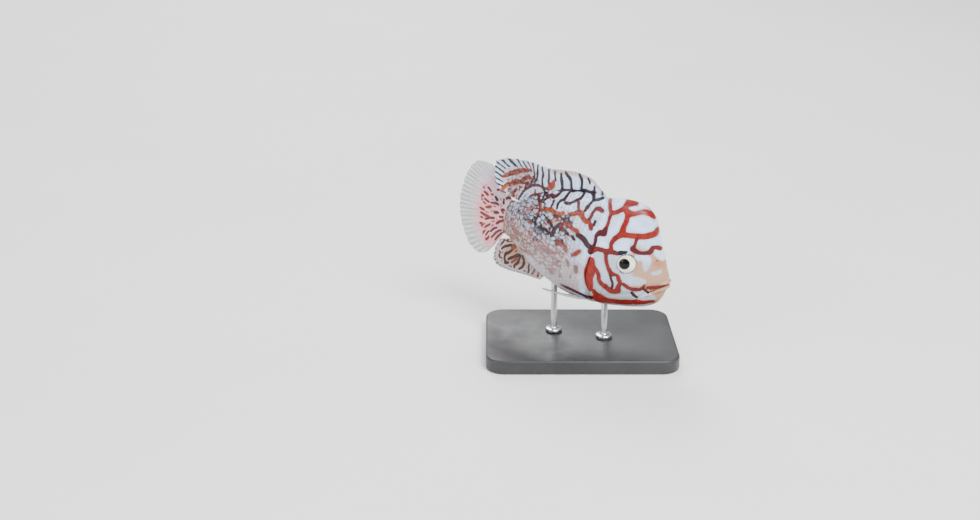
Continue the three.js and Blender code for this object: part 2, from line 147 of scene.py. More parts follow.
def ease(value, low, high):
    """0 at low, 1 at high, and smooth between; low may be the larger."""
    t = np.clip((np.asarray(value, float) - low) / (high - low), 0, 1)
    return t * t * (3 - 2 * t)


def between(a, b, share):
    return a + (b - a) * share


def bump(value, width):
    """1 at nought, falling away over a width on either side."""
    return np.exp(-((value / width) ** 2))


def spot(x, y, middle, stretch, width):
    """1 at a middle, falling away round it over a width, stretched by a factor each way."""
    return bump(np.hypot((x - middle[0]) / stretch[0], (y - middle[1]) / stretch[1]), width)


# The body's outline and sections, by the distance behind the snout
back = through([
    (0, 0.6), (1, 2.6), (3, 6.2), (5.5, 11.4), (8.5, 16.8), (11, 21.8), (13.5, 26.6), (16, 29.8), (20, 32.2),
    (26, 33.3), (31, 33), (35, 31.8), (39, 31), (43.5, 31.5), (48, 31.6), (54, 30.1), (64, 26.4), (73, 21.4),
    (80, 16.4), (86, 12), (90, 9.8), (94, 9),
])
belly = through([
    (0, -1.4), (0.6, -5), (1.6, -8.8), (3, -11.6), (6, -14), (10, -15.9), (17, -17.9), (27, -19.7),
    (34, -20.2), (44, -19.4), (56, -17.6), (66, -15), (74, -12.4), (82, -9.9), (88, -8.7), (94, -8.4),
])
widest = through([
    (0, -0.4), (4, -2.9), (9.2, -6.4), (13, -7), (20, -4.5), (30, -2), (45, 1), (60, 2.5), (80, 1.5),
    (94, 0.2),
])
half_width = through([
    (0, 0.8), (0.5, 2.2), (1.5, 3.4), (4, 4.8), (8, 6), (14, 7.8), (22, 9.2), (30, 10), (36, 10.2), (44, 9.9),
    (56, 8.6), (68, 6.6), (80, 4.4), (88, 3), (92, 2.2), (94, 1.3),
])
upper_roundness = through([(0, 2), (10, 2.2), (20, 2.7), (30, 2.6), (38, 2.2), (50, 1.9), (94, 1.9)])
lower_roundness = through([(0, 2), (10, 2), (25, 1.9), (40, 2.2), (60, 2), (94, 1.9)])


def side_at(s, z):
    """Half the body's width at a distance behind the snout and a height."""
    level = widest(s)
    upper = z > level
    reach = np.where(upper, back(s) - level, level - belly(s))
    power = np.where(upper, upper_roundness(s), lower_roundness(s))
    share = np.minimum(1, np.abs(z - level) / reach)
    return half_width(s) * (1 - share**power) ** (1 / power)


def underside_at(s, out):
    """The height of the underside at a distance behind the snout and a distance from the middle."""
    power = lower_roundness(s)
    share = np.minimum(1, np.abs(out) / half_width(s))
    return widest(s) - (widest(s) - belly(s)) * (1 - share**power) ** (1 / power)


# Pose
MIDLINE_STEP = 0.25
MIDLINE_END = 124


def yaw_at(s):
    bent = TURN["head"] + (TURN["stem"] - TURN["head"]) * ease(s, TURN["start"], TURN["end"])
    return np.radians(bent + (TURN["tip"] - TURN["stem"]) * ease(s, TURN["end"], TURN["flicked"]))


_middles = np.arange(MIDLINE_STEP / 2, MIDLINE_END, MIDLINE_STEP)
_places = np.arange(len(_middles) + 1) * MIDLINE_STEP
_line_x = np.concatenate([[0], np.cumsum(-np.cos(yaw_at(_middles)))]) * MIDLINE_STEP
_line_y = np.concatenate([[0], np.cumsum(np.sin(yaw_at(_middles)))]) * MIDLINE_STEP


def bent_and_dipped(s, z, lat):
    s, z, lat = np.broadcast_arrays(*(np.asarray(v, float) for v in (s, z, lat)))
    yaw = yaw_at(s)
    before = np.minimum(s, 0)
    x = np.interp(s, _places, _line_x) - before * np.cos(yaw) + lat * np.sin(yaw)
    y = np.interp(s, _places, _line_y) + before * np.sin(yaw) + lat * np.cos(yaw)
    cos, sin = math.cos(math.radians(NOSE_DOWN)), math.sin(math.radians(NOSE_DOWN))
    return np.stack([x * cos + z * sin, y, z * cos - x * sin], axis=-1)


_over_stand = bent_and_dipped(STAND_UNDER, 0, 0)
LIFT = np.array([-_over_stand[0], -_over_stand[1], SNOUT_HEIGHT])


def posed(s, z, lat):
    """From fish space to its place over the stand, in metres."""
    return (bent_and_dipped(s, z, lat) + LIFT) * MM


# Relief of the skin, in millimetres over the body's plain form
gill_edge = through([(-20, 27), (-17.6, 31.8), (-12, 35.8), (-5, 38.2), (4, 38.5), (14, 37.4)])
COVER = {
    "top": (14, 9.5), "bottom": (-20.5, -18.5), "swell": 0.5, "swells_over": 5, "step": 1.1, "step_over": 1.7,
}
COVER_FRONT = [(34.6, 12.8), (30.9, 11.6), (28.9, 5), (28.2, -3), (28.8, -10.5), (31.4, -16.6)]
JAW_FOLD = [(9.3, -6.5), (11.3, -8.6), (12.8, -11.8), (13.4, -14.5)]
CHEEK_FOLD = [(10.4, -5.2), (14, -7.6), (19, -9.6), (24, -11.8), (28.8, -14)]
FOLDS = ((COVER_FRONT, 0.42, 0.5), (JAW_FOLD, 0.45, 0.55), (CHEEK_FOLD, 0.2, 0.6))
BROW = [(15.5, 9.5), (18, 11.6), (22, 12.3), (26.3, 11)]
THROAT_FOLDS = {"apart": 1.9, "depth": 0.16}
CHEEK = {"middle": (19, -4), "stretch": (1.3, 1), "width": 3.5, "swell": 0.35}
FIN_PAD = {"middle": (40.2, -4.6), "stretch": (1.2, 4), "width": 1, "swell": 0.45}


def smooth_line(points, parts=6):
    """Points on a smooth line through the given ones (each a tuple of numbers)."""
    p = np.array(points, float)
    if len(p) < 3:
        return p
    padded = np.vstack([2 * p[0] - p[1], p, 2 * p[-1] - p[-2]])
    t = np.arange(parts)[:, None] / parts
    pieces = []
    for a, b, c, d in zip(padded, padded[1:], padded[2:], padded[3:]):
        bend = (2 * a - 5 * b + 4 * c - d) * t**2 + (3 * b - a - 3 * c + d) * t**3
        pieces.append(0.5 * (2 * b + (c - a) * t + bend))
    return np.vstack(pieces + [p[-1:]])


def from_line(s, z, line):
    """Each place's distance from a line, and where along it the nearest point is (0 to the last index)."""
    nearest = np.full(s.shape, 1e9)
    along = np.zeros(s.shape)
    for i, (a, b) in enumerate(zip(line[:, :2], line[1:, :2])):
        d = b - a
        t = np.clip(((s - a[0]) * d[0] + (z - a[1]) * d[1]) / max(d @ d, 1e-9), 0, 1)
        gap = np.hypot(s - a[0] - t * d[0], z - a[1] - t * d[1])
        closer = gap < nearest
        nearest = np.where(closer, gap, nearest)
        along = np.where(closer, i + t, along)
    return nearest, along


def relief(s, z, lat):
    """Lips, mouth, nostrils, eye rims, gill covers and the folds of the head."""
    over = z - widest(s)
    lips = ease(s, MOUTH_CORNER + 0.8, MOUTH_CORNER - 1.4)
    h = lips * (0.8 * bump(over - 1.2, 0.75) + 0.85 * bump(over + 1.25, 0.8))
    h -= lips * (1.15 * bump(over, 0.34) + 0.22 * bump(over - 2.8, 0.5) + 0.25 * bump(over + 3, 0.55))
    flank = ease(np.abs(lat), 1.0, 2.5)
    for line, depth, width in FOLDS:
        gap, _ = from_line(s, z, smooth_line(line))
        h -= flank * depth * bump(gap, width)
    gap, _ = from_line(s, z, smooth_line(BROW))
    h += flank * 0.3 * bump(gap, 1.1)
    past = s - gill_edge(z)
    swollen = COVER["swell"] * np.exp(np.minimum(past, 0) / COVER["swells_over"])
    sunk = -COVER["step"] * np.exp(-np.maximum(past, 0) / COVER["step_over"])
    h += ease(z, *COVER["top"]) * ease(z, *COVER["bottom"]) * np.where(past < 0, swollen, sunk)
    rim = np.hypot(s - EYE["back"], z - EYE["up"])
    side = flank * ease(rim, 9, 8)
    h += side * (0.3 * bump(rim - EYE["rim"] - 0.35, 0.42) - 0.15 * bump(rim - EYE["rim"] - 1.5, 0.6))
    h -= side * EYE["socket"] * ease(rim, EYE["rim"] + 0.05, EYE["rim"] - 0.5)
    pit = np.hypot(s - NOSTRIL["back"], z - NOSTRIL["up"])
    h += flank * (NOSTRIL["rim_height"] * bump(pit - NOSTRIL["rim"], 0.3) - NOSTRIL["depth"] * bump(pit, 0.5))
    h += CHEEK["swell"] * flank * spot(s, z, CHEEK["middle"], CHEEK["stretch"], CHEEK["width"])
    throat = ease(z - belly(s), 4, 1) * ease(s, 8, 13) * ease(s, 33, 27)
    h -= throat * THROAT_FOLDS["depth"] * (0.5 + 0.5 * np.cos(lat * 2 * math.pi / THROAT_FOLDS["apart"]))
    h += flank * FIN_PAD["swell"] * spot(s, z, FIN_PAD["middle"], FIN_PAD["stretch"], FIN_PAD["width"])
    return h


# Markings. A stroke is how warm it is (0 black, 1 brick red, 2 amber) and its points, each as the distance
# behind the snout, the height and the half width.
HEAD_LINES = (
    (0.75, [(37.9, 31.4, 0.7), (36.3, 28, 0.65), (35.4, 26, 0.6), (35.3, 23, 0.5), (35.4, 20, 0.5)]),
    (0.25, [(35.4, 20, 0.5), (35.9, 17, 1.2), (37.4, 16.2, 1.25), (38.6, 14.6, 0.6), (38.4, 12, 0.5),
        (38.4, 9.5, 0.5)]),
    (0.9, [(35.3, 26.4, 0.8), (33.5, 27.4, 0.7), (31.5, 28.9, 0.7), (30, 30.4, 1), (29.4, 32.4, 1.3),
        (27.6, 33, 1.2), (25.2, 33.2, 0.6)]),
    (1, [(30, 30.2, 0.9), (27.6, 28.6, 1.3), (25.5, 28.9, 0.9), (23.3, 30, 0.8), (20.8, 30.8, 0.9),
        (18, 30.6, 0.85), (15.4, 29, 0.6)]),
    (0.95, [(27.8, 28.5, 1.2), (27.6, 26, 0.95), (27.9, 23.5, 0.95), (28, 21, 1.2), (28, 19, 1.5),
        (29.5, 17, 0.95)]),
    (0.7, [(29.5, 17, 0.95), (30.8, 15, 0.85), (31.3, 13, 0.65), (30.9, 11, 0.65), (30.4, 9.5, 0.8)]),
    (1.05, [(27.5, 18.8, 1.4), (25, 18.9, 1), (22.5, 19.3, 1), (20, 19.7, 1.2), (17.5, 20.3, 1.1),
        (15, 21.2, 1.2), (13.3, 22.4, 1.3), (12.7, 24, 0.9)]),
    (0.6, [(20.5, 19.2, 0.9), (20.7, 17, 0.5), (20.8, 15, 0.5), (21.3, 13.4, 1.1), (19.5, 12.6, 0.8),
        (17, 12.1, 0.7), (14.5, 12.9, 0.8), (12.7, 13.8, 1), (12.4, 15.6, 0.8), (10.5, 16, 0.8),
        (8.6, 15.4, 0.6)]),
    (0.55, [(39.2, 6.5, 1.1), (37, 8.6, 0.9), (35, 9, 0.9), (33, 8.8, 1), (31, 9.3, 1.1), (29, 9.3, 0.9),
        (27.6, 9, 0.6)]),
    (0, [(27.3, 9.2, 0.5), (26.2, 9.9, 0.9), (25, 10.5, 0.7), (23.7, 11, 0.4)]),
    (0.65, [(32.5, 8.3, 0.8), (32, 6, 0.6), (31, 3.5, 0.55), (29.6, 1, 0.6), (28.6, -0.8, 0.5)]),
    (0.2, [(28.6, -0.8, 0.45), (27.5, -2.5, 0.35), (26.4, -4.5, 0.35), (25.6, -6.5, 0.35),
        (25.4, -8.5, 0.5)]),
    (0.75, [(29.8, 1.2, 0.6), (27.8, -0.1, 0.5), (26, -1.1, 0.55), (24.5, -1.5, 0.7), (23.3, -3, 0.8),
        (22.4, -4.6, 0.8), (22.7, -6.5, 0.95), (22.4, -8.6, 1.1)]),
    (0.85, [(36, -0.8, 1.1), (34, -1.8, 0.7), (33, -3.5, 0.6), (32.3, -5.5, 0.6), (31, -7, 0.75),
        (29, -8.2, 0.95), (27, -9.2, 1), (25, -9.8, 1), (23.3, -9.4, 1.1), (22.3, -8.4, 1)]),
    (1, [(33, -12.2, 0.6), (32, -13.5, 1.2), (30, -15, 1.6), (27.5, -16, 1.6), (24, -15.7, 1.3),
        (20, -14.8, 1.25), (16, -13.6, 1.2), (12, -12.4, 1.15), (9, -11.8, 0.9), (6.5, -10.9, 0.6),
        (5, -10.4, 0.4)]),
    (1, [(32.4, -16.4, 1.3), (28, -17, 1.2), (24, -16.6, 0.8)]),
    (1, [(37.8, 2.8, 0.8), (37.3, 0, 1.4), (37, -3, 1.8), (36.8, -6, 1.6), (36, -9, 1.2),
        (34.8, -12, 0.9)]),
    (0.75, [(20.6, -4.7, 0.6), (18, -5.5, 0.75), (15.5, -6, 0.8), (13.3, -5.6, 0.65), (12, -4.6, 0.45),
        (11, -3.2, 0.35)]),
    (0.95, [(9.4, -3.9, 0.3), (7.5, -3.3, 0.45), (5, -2.3, 0.3), (2.5, -1.1, 0.15), (0.4, -0.4, 0.05)]),
    (0.05, [(15.9, -7.9, 0.4), (14.5, -8.8, 0.45), (12.8, -9.7, 0.3)]),
    (0.3, [(11.3, -4.7, 0.35), (9.7, -5.5, 0.35), (8.5, -6.2, 0.25)]),
)
FLANK_LINES = (
    (0, [(64.4, 26.5, 0.4), (62, 27.5, 0.6), (59, 28.7, 0.6), (56, 29.4, 0.55), (53, 30.7, 0.5),
        (50, 31.4, 0.5), (47, 31.9, 0.6), (45.6, 30.9, 0.4), (44.8, 29.3, 0.5), (43, 29.8, 0.35),
        (41.3, 31, 0.3)]),
    (0.1, [(50, 30.4, 0.35), (50.5, 28.4, 0.4), (51.6, 26.8, 0.5), (53, 25.3, 0.4), (54.6, 24, 0.5),
        (56.3, 23.4, 0.7)]),
    (0.4, [(50.7, 26, 0.35), (49.9, 24, 0.4), (49.2, 22, 0.5)]),
    (1.2, [(52.7, 19.6, 0.6), (51, 20.3, 0.85), (49.3, 21.6, 0.9), (47.9, 21.9, 1.15), (46.4, 20.2, 0.75),
        (44.8, 19.4, 1.05), (43.4, 19.5, 0.7)]),
    (0.15, [(44.9, 29, 0.4), (45.6, 27, 0.35), (46.2, 25.3, 0.6), (46.5, 23.4, 0.35)]),
    (0.55, [(43.7, 20, 0.4), (43.3, 22.4, 0.45), (43.2, 24.5, 0.4), (42.3, 26, 0.5), (40.8, 26.4, 0.95),
        (39.4, 26, 0.7)]),
    (0.7, [(42.2, 18.3, 0.8), (41.7, 16.6, 0.5)]),
    (0.1, [(40.8, 20.7, 0.4), (41.1, 18.8, 0.3)]),
    (0.05, [(57, 28.6, 0.35), (57.8, 25, 0.5), (59.3, 23.2, 0.4), (59.8, 21.4, 0.4), (59.5, 19.6, 0.3)]),
    (0.25, [(61.5, 27, 0.4), (62.5, 24.3, 0.5), (64, 23.3, 0.7), (66, 23.3, 0.5), (66.8, 21.5, 0.4),
        (68.2, 19.8, 0.4)]),
    (1.45, [(65.7, 16.1, 0.4), (63.5, 17.2, 0.6), (61, 17.6, 0.7), (58.5, 17.3, 0.8), (56.5, 18.2, 0.85),
        (55.6, 19, 0.5)]),
    (0.1, [(62.6, 22, 0.3), (62.4, 19.5, 0.3), (62.6, 17.6, 0.3)]),
    (0.15, [(57.3, 8, 0.8), (56.8, 11, 0.65), (55.6, 13.3, 0.6), (54.2, 14.2, 0.5)]),
    (1.2, [(54.2, 14.2, 0.5), (52.5, 14.7, 0.85), (51, 14.8, 0.8), (49.2, 13.8, 0.6), (47.5, 13.6, 0.75),
        (46.6, 13.1, 0.5)]),
    (0.9, [(54.7, 13.2, 0.5), (53.4, 11.5, 0.65)]),
    (0.05, [(51, 10.8, 0.8), (50.4, 10.4, 0.4)]),
    (0.1, [(48.2, 10.2, 0.6), (47.3, 9.4, 0.5)]),
    (0.12, [(46, 12, 1), (44, 11.3, 1.1), (42.6, 10.4, 1), (41.2, 9.2, 1), (39.6, 8, 0.8),
        (39.2, 5.6, 0.6)]),
    (0, [(61.6, 12.1, 0.5), (60.1, 12.2, 0.55), (58.9, 11, 0.5)]),
    (0, [(64.2, 7.4, 0.5), (62.4, 7.9, 0.45), (60.5, 7.6, 0.6), (59.6, 6.4, 0.4)]),
    (0, [(69, 9.6, 0.4), (68, 8, 0.4), (67.2, 6.2, 0.5), (66.7, 5.4, 0.4)]),
    (0.9, [(73, 6.6, 0.4), (71, 6.9, 0.55), (70, 7.6, 0.3)]),
    (0, [(64.4, 4.2, 0.6), (63.5, 4, 0.45)]),
    (0.1, [(66.6, 0.6, 0.55), (66, 0.2, 0.4)]),
    (0.5, [(70, 2.3, 0.6), (68.9, 1.6, 0.4)]),
    (1.25, [(54.1, 5.2, 0.9), (52, 4.7, 1.3), (50.3, 4.1, 0.9), (49.4, 2.5, 0.6)]),
    (1.1, [(46.1, 1.8, 0.8), (44.8, 3.2, 0.85), (43.8, 4.8, 0.55)]),
    (1.4, [(63.6, -3.6, 0.6), (62.5, -1.8, 0.8), (60.5, -1, 0.9), (58, -1.4, 1.1), (56, -1.2, 0.9),
        (54.2, -0.7, 0.7)]),
    (1.3, [(64.2, -3.6, 0.5), (63.4, -6, 0.45)]),
    (1.2, [(47.6, -1.5, 0.45), (47, -3.6, 0.5)]),
    (1.15, [(43.4, -3, 0.55), (42.9, -5.6, 0.5)]),
    (0.9, [(51, -3.5, 0.35), (52.4, -5.4, 0.35)]),
    (1.6, [(76.2, 11.8, 0.8), (74.4, 12.9, 0.6), (72.4, 14, 0.4)]),
    (0.3, [(81, 16.8, 0.45), (78, 19, 0.5), (75, 19.9, 0.5), (72.5, 18.8, 0.5), (70.6, 17.8, 0.75),
        (69.2, 16.4, 0.5), (68.3, 14.3, 0.4)]),
    (0.15, [(74.8, 21, 0.4), (71.6, 22.6, 0.5), (70, 21, 0.4), (69.8, 19, 0.4)]),
    (1.6, [(88, -8, 0.8), (84.5, -6.6, 1.1), (81.5, -5.4, 1.1), (79, -4.2, 0.8)]),
    (1.5, [(84.6, -1.4, 0.6), (81.8, -2.4, 0.9), (78.6, -2.4, 0.6), (75, -0.8, 0.5)]),
    (0.1, [(78, -5.6, 0.5), (76.6, -5, 0.5)]),
    (1.4, [(76, -8.6, 0.7), (73.5, -8.9, 0.8), (71, -8.4, 0.6), (68, -7.2, 0.9), (66, -7, 0.5)]),
    (0, [(65.4, 7.2, 0.5), (63.4, 7.6, 0.4)]),
    (0, [(77, 6.6, 0.5), (75.6, 6.4, 0.4)]),
    (0.3, [(83.4, 8, 0.4), (81, 7.4, 0.5), (79.4, 7.8, 0.3)]),
    (0.3, [(87.4, 1.6, 0.5), (85.6, 2.2, 0.4)]),
    (1.6, [(69.4, 17.6, 0.5), (67.8, 15.4, 0.4), (66.6, 14.8, 0.3)]),
    (1.2, [(47.6, -1.8, 0.5), (46.9, -3.4, 0.6)]),
    (0.35, [(48.5, -15.6, 0.45), (43.4, -16, 0.6), (38.5, -16.6, 0.65), (33.4, -17.2, 0.6)]),
)
PALE_PATCHES = (
    [(17.6, 10.1, 1.5), (15, 10.2, 1.8), (13.4, 9, 2.1), (13, 7, 1.6), (12.7, 4.9, 0.8)],
    [(9.6, 13.3, 1.2), (8, 12.6, 1.6), (6.5, 11.8, 1.4)],
    [(8.9, 3.6, 0.6), (7.5, 4, 0.8), (6, 5, 0.7)],
    [(23.3, -1, 0.7), (20, -2.1, 1.5), (16.5, -2, 2), (13.5, -1.6, 1.8), (11.9, -1.2, 1)],
    [(31, -10.5, 1.2), (27, -12.6, 1.4), (20, -9.8, 2.6), (14, -8.3, 2), (8, -8.2, 2.1), (5.4, -8.8, 1)],
    [(33, 4, 3), (30, -4, 3)],
)
FAR = 9.0
HEAVIER = {"head": 0.36, "flank": 0.34, "fin": 0.34, "patch": 0.2}

# The nets between the strokes: the length and height of their cells, and the lean of the shoulder's cells
FINE_CELL = (2.6, 2.5)
REAR_CELL = (4, 2.6)
SHOULDER_CELL = (4.6, 2.7)
SHOULDER_LEAN = math.radians(38)
STREAKS_APART = 2.9

# What sets the left side's pattern apart: how far strokes drift, and how many cells the nets are shifted
LEFT_DRIFT = 1.1
LEFT_SHIFT = 5.3


def strokes(s, z, lines, heavier):
    """The signed distance to the nearest of some brush strokes, made heavier, and that stroke's number."""
    best = np.full(s.shape, FAR)
    which = np.zeros(s.shape, int)
    for number, points in enumerate(lines):
        line = smooth_line(points, 4)
        margin = line[:, 2].max() + FAR / 3
        low, high = line[:, :2].min(0) - margin, line[:, :2].max(0) + margin
        near = np.flatnonzero((s > low[0]) & (s < high[0]) & (z > low[1]) & (z < high[1]))
        gap, along = from_line(s[near], z[near], line)
        signed = gap - np.interp(along, np.arange(len(line)), line[:, 2]) - heavier
        closer = signed < best[near]
        best[near[closer]] = signed[closer]
        which[near[closer]] = number
    return best, which


def drawn(s, z, lines, heavier):
    """Strokes with their warmth."""
    gap, which = strokes(s, z, [points for _, points in lines], heavier)
    return gap, np.array([warmth for warmth, _ in lines])[which]


def scattered(i, j, seed):
    """Two draws between 0 and 1 for each whole-number cell, the same each run."""
    h = np.sin(i * 127.1 + j * 311.7 + seed * 74.7) * 43758.5453
    k = np.sin(i * 269.5 + j * 183.3 + seed * 41.3) * 24634.6345
    return h - np.floor(h), k - np.floor(k)


def cells(x, y, seed, jitter=0.8):
    """An irregular net of unit cells: each place's distance from the nearest border and its cell's heart."""
    i, j = np.floor(x), np.floor(y)
    first = np.full(x.shape, 9.0)
    second = np.full(x.shape, 9.0)
    for di in (-1, 0, 1):
        for dj in (-1, 0, 1):
            a, b = scattered(i + di, j + dj, seed)
            stagger = 0.5 * np.mod(i + di, 2)
            heart_x = i + di + 0.5 + jitter * (a - 0.5)
            heart_y = j + dj + 0.5 + stagger * 0.6 + jitter * (b - 0.5)
            gap = np.hypot(heart_x - x, heart_y - y)
            second = np.minimum(second, np.maximum(gap, first))
            first = np.minimum(first, gap)
    return (second - first) / 2, first


def waver(x, y, size, seed):
    """Soft noise between -1 and 1 that changes over a size."""
    total = np.zeros(np.broadcast(x, y).shape)
    for turn in range(4):
        angle = seed * 1.7 + turn * 2.4
        total = total + np.sin((x * math.cos(angle) + y * math.sin(angle)) / size * 2.1 + seed + turn * 1.3)
    return total / 4


def closest(line, warm, other, other_warm):
    """The nearer of two lines at each place, with its warmth."""
    nearer = other < line
    return np.where(nearer, other, line), np.where(nearer, other_warm, warm)


def speckled(s, z):
    """How much of the fine net a place on the flank or tail stem takes."""
    upper = ease(z - 20 + 0.28 * (s - 52), -2, 2) * ease(s, 70, 62)
    fine = ease(s, 42, 52) * ease(z - belly(s), 2, 7) * (1 - 0.85 * upper)
    return np.maximum(fine, ease(s, 80, 86))


def flank_net(s, z, spread_s, spread_z, shift, fine):
    """A broken net over flank and tail stem, about a cell to a scale, with its warmth."""
    long, high = FINE_CELL
    border, _ = cells(spread_s / long + shift, spread_z / high + 0.3 * spread_s / long, 4, 0.85)
    long, high = REAR_CELL
    large, _ = cells(spread_s / long + shift, (spread_z + 0.5 * spread_s) / high, 9, 0.85)
    broken = 0.24 * waver(s, z, 1.7, 6) + 0.12 * waver(s, z, 5, 16)
    coarse = ease(z - 0.5 * back(s), -1, 3) * ease(s, 58, 66) * ease(s, 92, 86)
    net = between(border * 2.4 - 0.36 + 1.2 * broken, large * 2.8 - 0.42 + 0.6 * broken, coarse)
    net = net + (1 - np.maximum(fine, coarse)) * 1.6 + 0.1 * coarse
    lower = 1.2 * ease(z - 0.06 * s, 2, -6)
    warm = 0.1 + 1.3 * waver(s, z, 3.4, 12) + lower + 0.9 * ease(s, 60, 80) * ease(z, 4, -4)
    return net, 0.1 + 1.8 * ease(warm, 0.35, 0.65) * (1 - 0.9 * coarse)


def shoulder_net(s, z, spread_s, spread_z, shift, line):
    """Thin dark outlines of the long shoulder cells, kept off the drawn line, with their warmth."""
    long, high = SHOULDER_CELL
    cos, sin = math.cos(SHOULDER_LEAN), math.sin(SHOULDER_LEAN)
    long_way = (-spread_s * cos + spread_z * sin) / long
    short_way = (spread_s * sin + spread_z * cos) / high
    border, _ = cells(long_way + shift, short_way, 2)
    shoulder = ease(s, 40, 43) * ease(z, 14, 18) * ease(s, 70, 60)
    net = border * 2.7 - 0.26 + 2 * ease(line, 1.3, 0.6) + (1 - shoulder) * 2.2
    return net, 0.5 * ease(waver(s, z, 5, 40), 0.2, 0.6)


def belly_streaks(s, z):
    """Soft amber streaks down the belly."""
    streak = np.abs(np.mod((s + 1.1 * waver(s, z, 5, 7)) / STREAKS_APART, 1) - 0.5) * STREAKS_APART
    low = ease(s, 39.5, 43) * ease(z, 4, -2) * ease(z - belly(s), 0, 3) * ease(s, 90, 84)
    return streak + 0.12 + 0.55 * waver(s, z, 2.2, 9) + (1 - low) * 2


def ground(s, z, fine):
    """How tan and how dusky the skin between the lines is."""
    snout = ease(s - 0.3 * (z - 6), 21.5, 18) * ease(z - 0.25 * (s - 10), 15, 11) * ease(z + 0.1 * s, -9, -5)
    snout = np.maximum(snout, ease(s + 0.3 * z, 4.5, 2) * ease(z, -15, -11))
    paunch = ease(s, 37.8, 41) * ease(z - 0.05 * (s - 40), 4, -5)
    patches, _ = strokes(s, z, PALE_PATCHES, HEAVIER["patch"])
    tan = np.maximum(snout * ease(patches, -0.35, 0.35), 0.6 * paunch)
    tan = np.maximum(tan, fine * (0.12 + 0.5 * ease(waver(s, z, 2.4, 14), 0.1, 0.7)))
    tan = tan + 0.55 * spot(s, z, (7.6, 8.3), (1.5, 1), 1.7) + 0.2 * snout * ease(z, 1, -3)
    jaw = ease(z - 0.12 * s, -6, -11) * ease(s, 39, 35)
    cheek = 0.5 * ease(z, 11, 5) * ease(s, 39, 36)
    flank = 0.16 * fine + 0.1 * (1 - fine) * ease(s, 38, 44) * ease(z, 16, 8)
    dusk = np.maximum(np.maximum(0.75 * jaw, cheek), flank)
    pale = ease(z, 14, 22) * ease(s, 10, 16)
    return tan, dusk * (1 - 0.6 * pale)


def body_markings(points):
    """line, warm, tan and dusk on the skin and its scales, at places in fish space."""
    s, z, lat = points.T
    left = ease(lat, -0.8, 0.8)
    drift_s = s + 0.22 * waver(s, z, 1.9, 3) + left * LEFT_DRIFT * waver(s, z, 9, 21)
    drift_z = z + 0.22 * waver(s, z, 1.7, 8) + left * LEFT_DRIFT * waver(s, z, 8, 25)
    line, warm = drawn(drift_s, drift_z, HEAD_LINES, HEAVIER["head"])
    line, warm = closest(line, warm, *drawn(drift_s, drift_z, FLANK_LINES, HEAVIER["flank"]))
    over_top = ease(z - back(s), -2.2, -0.2) * ease(s, 39, 36)
    line = line + over_top * 0.25
    shift = np.where(lat > 0, LEFT_SHIFT, 0)
    spread_s = s + 0.7 * waver(s, z, 3.2, 31)
    spread_z = z + 0.5 * waver(s, z, 2.8, 33)
    fine = speckled(s, z)
    line, warm = closest(line, warm, *flank_net(s, z, spread_s, spread_z, shift, fine))
    line, warm = closest(line, warm, *shoulder_net(s, z, spread_s, spread_z, shift, line))
    line, warm = closest(line, warm, belly_streaks(s, z), 1.9)
    faint = ease(z - 0.12 * (s - 45), 8, 3) * ease(s, 42, 47)
    faint = np.maximum(faint, ease(s, 66, 74) * ease(z, 20, 15))
    line = np.maximum(line, -0.6 + 0.5 * faint)
    flushed = spot(s, z, (38.4, -4), (1.1, 3.2), 3)
    line = line - 0.55 * flushed * ease(warm, 0.7, 0.95)
    tan, dusk = ground(s, z, fine)
    return {"line": line, "warm": warm, "tan": tan, "dusk": dusk}


# Mesh helpers
def deselected():
    if bpy.context.object and bpy.context.object.mode != "OBJECT":
        bpy.ops.object.mode_set(mode="OBJECT")
    bpy.ops.object.select_all(action="DESELECT")


def only(piece):
    """Leaves one piece selected and active."""
    deselected()
    piece.select_set(True)
    bpy.context.view_layer.objects.active = piece


def added(name):
    """The piece that an operator has just added, under its own name."""
    piece = bpy.context.object
    piece.name = name
    piece.data.name = name
    return piece


def sheet(name, columns, rows):
    """A flat grid of faces with its own unwrap, and the place of each vertex on it, from 0 to 1 both ways."""
    deselected()
    bpy.ops.mesh.primitive_grid_add(x_subdivisions=columns, y_subdivisions=rows, size=2)
    piece = added(name)
    flat = coordinates(piece)
    return piece, (flat[:, 0] + 1) / 2, (flat[:, 1] + 1) / 2


def coordinates(piece):
    flat = np.empty(len(piece.data.vertices) * 3)
    piece.data.vertices.foreach_get("co", flat)
    return flat.reshape(-1, 3)


def shaped(piece, points):
    piece.data.vertices.foreach_set("co", np.asarray(points, float).ravel())
    piece.data.update()


def painted(piece, **fields):
    """Keeps one number for each vertex under each name, for the materials to read."""
    for name, values in fields.items():
        attribute = piece.data.attributes.new(name, "FLOAT", "POINT")
        every = np.broadcast_to(values, len(piece.data.vertices))
        attribute.data.foreach_set("value", every.astype(np.float32))


def in_edit_mode(piece, *steps):
    """Takes steps with the whole of a piece selected."""
    only(piece)
    bpy.ops.object.mode_set(mode="EDIT")
    bpy.ops.mesh.select_all(action="SELECT")
    for step in steps:
        step()
    bpy.ops.object.mode_set(mode="OBJECT")


def merge_doubles():
    bpy.ops.mesh.remove_doubles(threshold=1e-6)


def face_outwards():
    bpy.ops.mesh.normals_make_consistent(inside=False)


def modified(piece, kind, **settings):
    """Adds a modifier with its settings and applies it."""
    only(piece)
    modifier = piece.modifiers.new(kind.title(), kind)
    for name, value in settings.items():
        setattr(modifier, name, value)
    bpy.ops.object.modifier_apply(modifier=modifier.name)


def smooth(piece, angle=None):
    """Shades a piece smooth, all over or where it turns by less than an angle in degrees."""
    only(piece)
    if angle is None:
        bpy.ops.object.shade_smooth()
    else:
        bpy.ops.object.shade_smooth_by_angle(angle=math.radians(angle))


def finished(piece, material, slot, *nodes):
    """Gives a piece its material and body, and hides the CAD nodes that it stands in for. The slot is not
    used.
    """
    piece.data.materials.clear()
    piece.data.materials.append(material)
    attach(piece, "root")
    if nodes:
        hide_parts(*nodes)


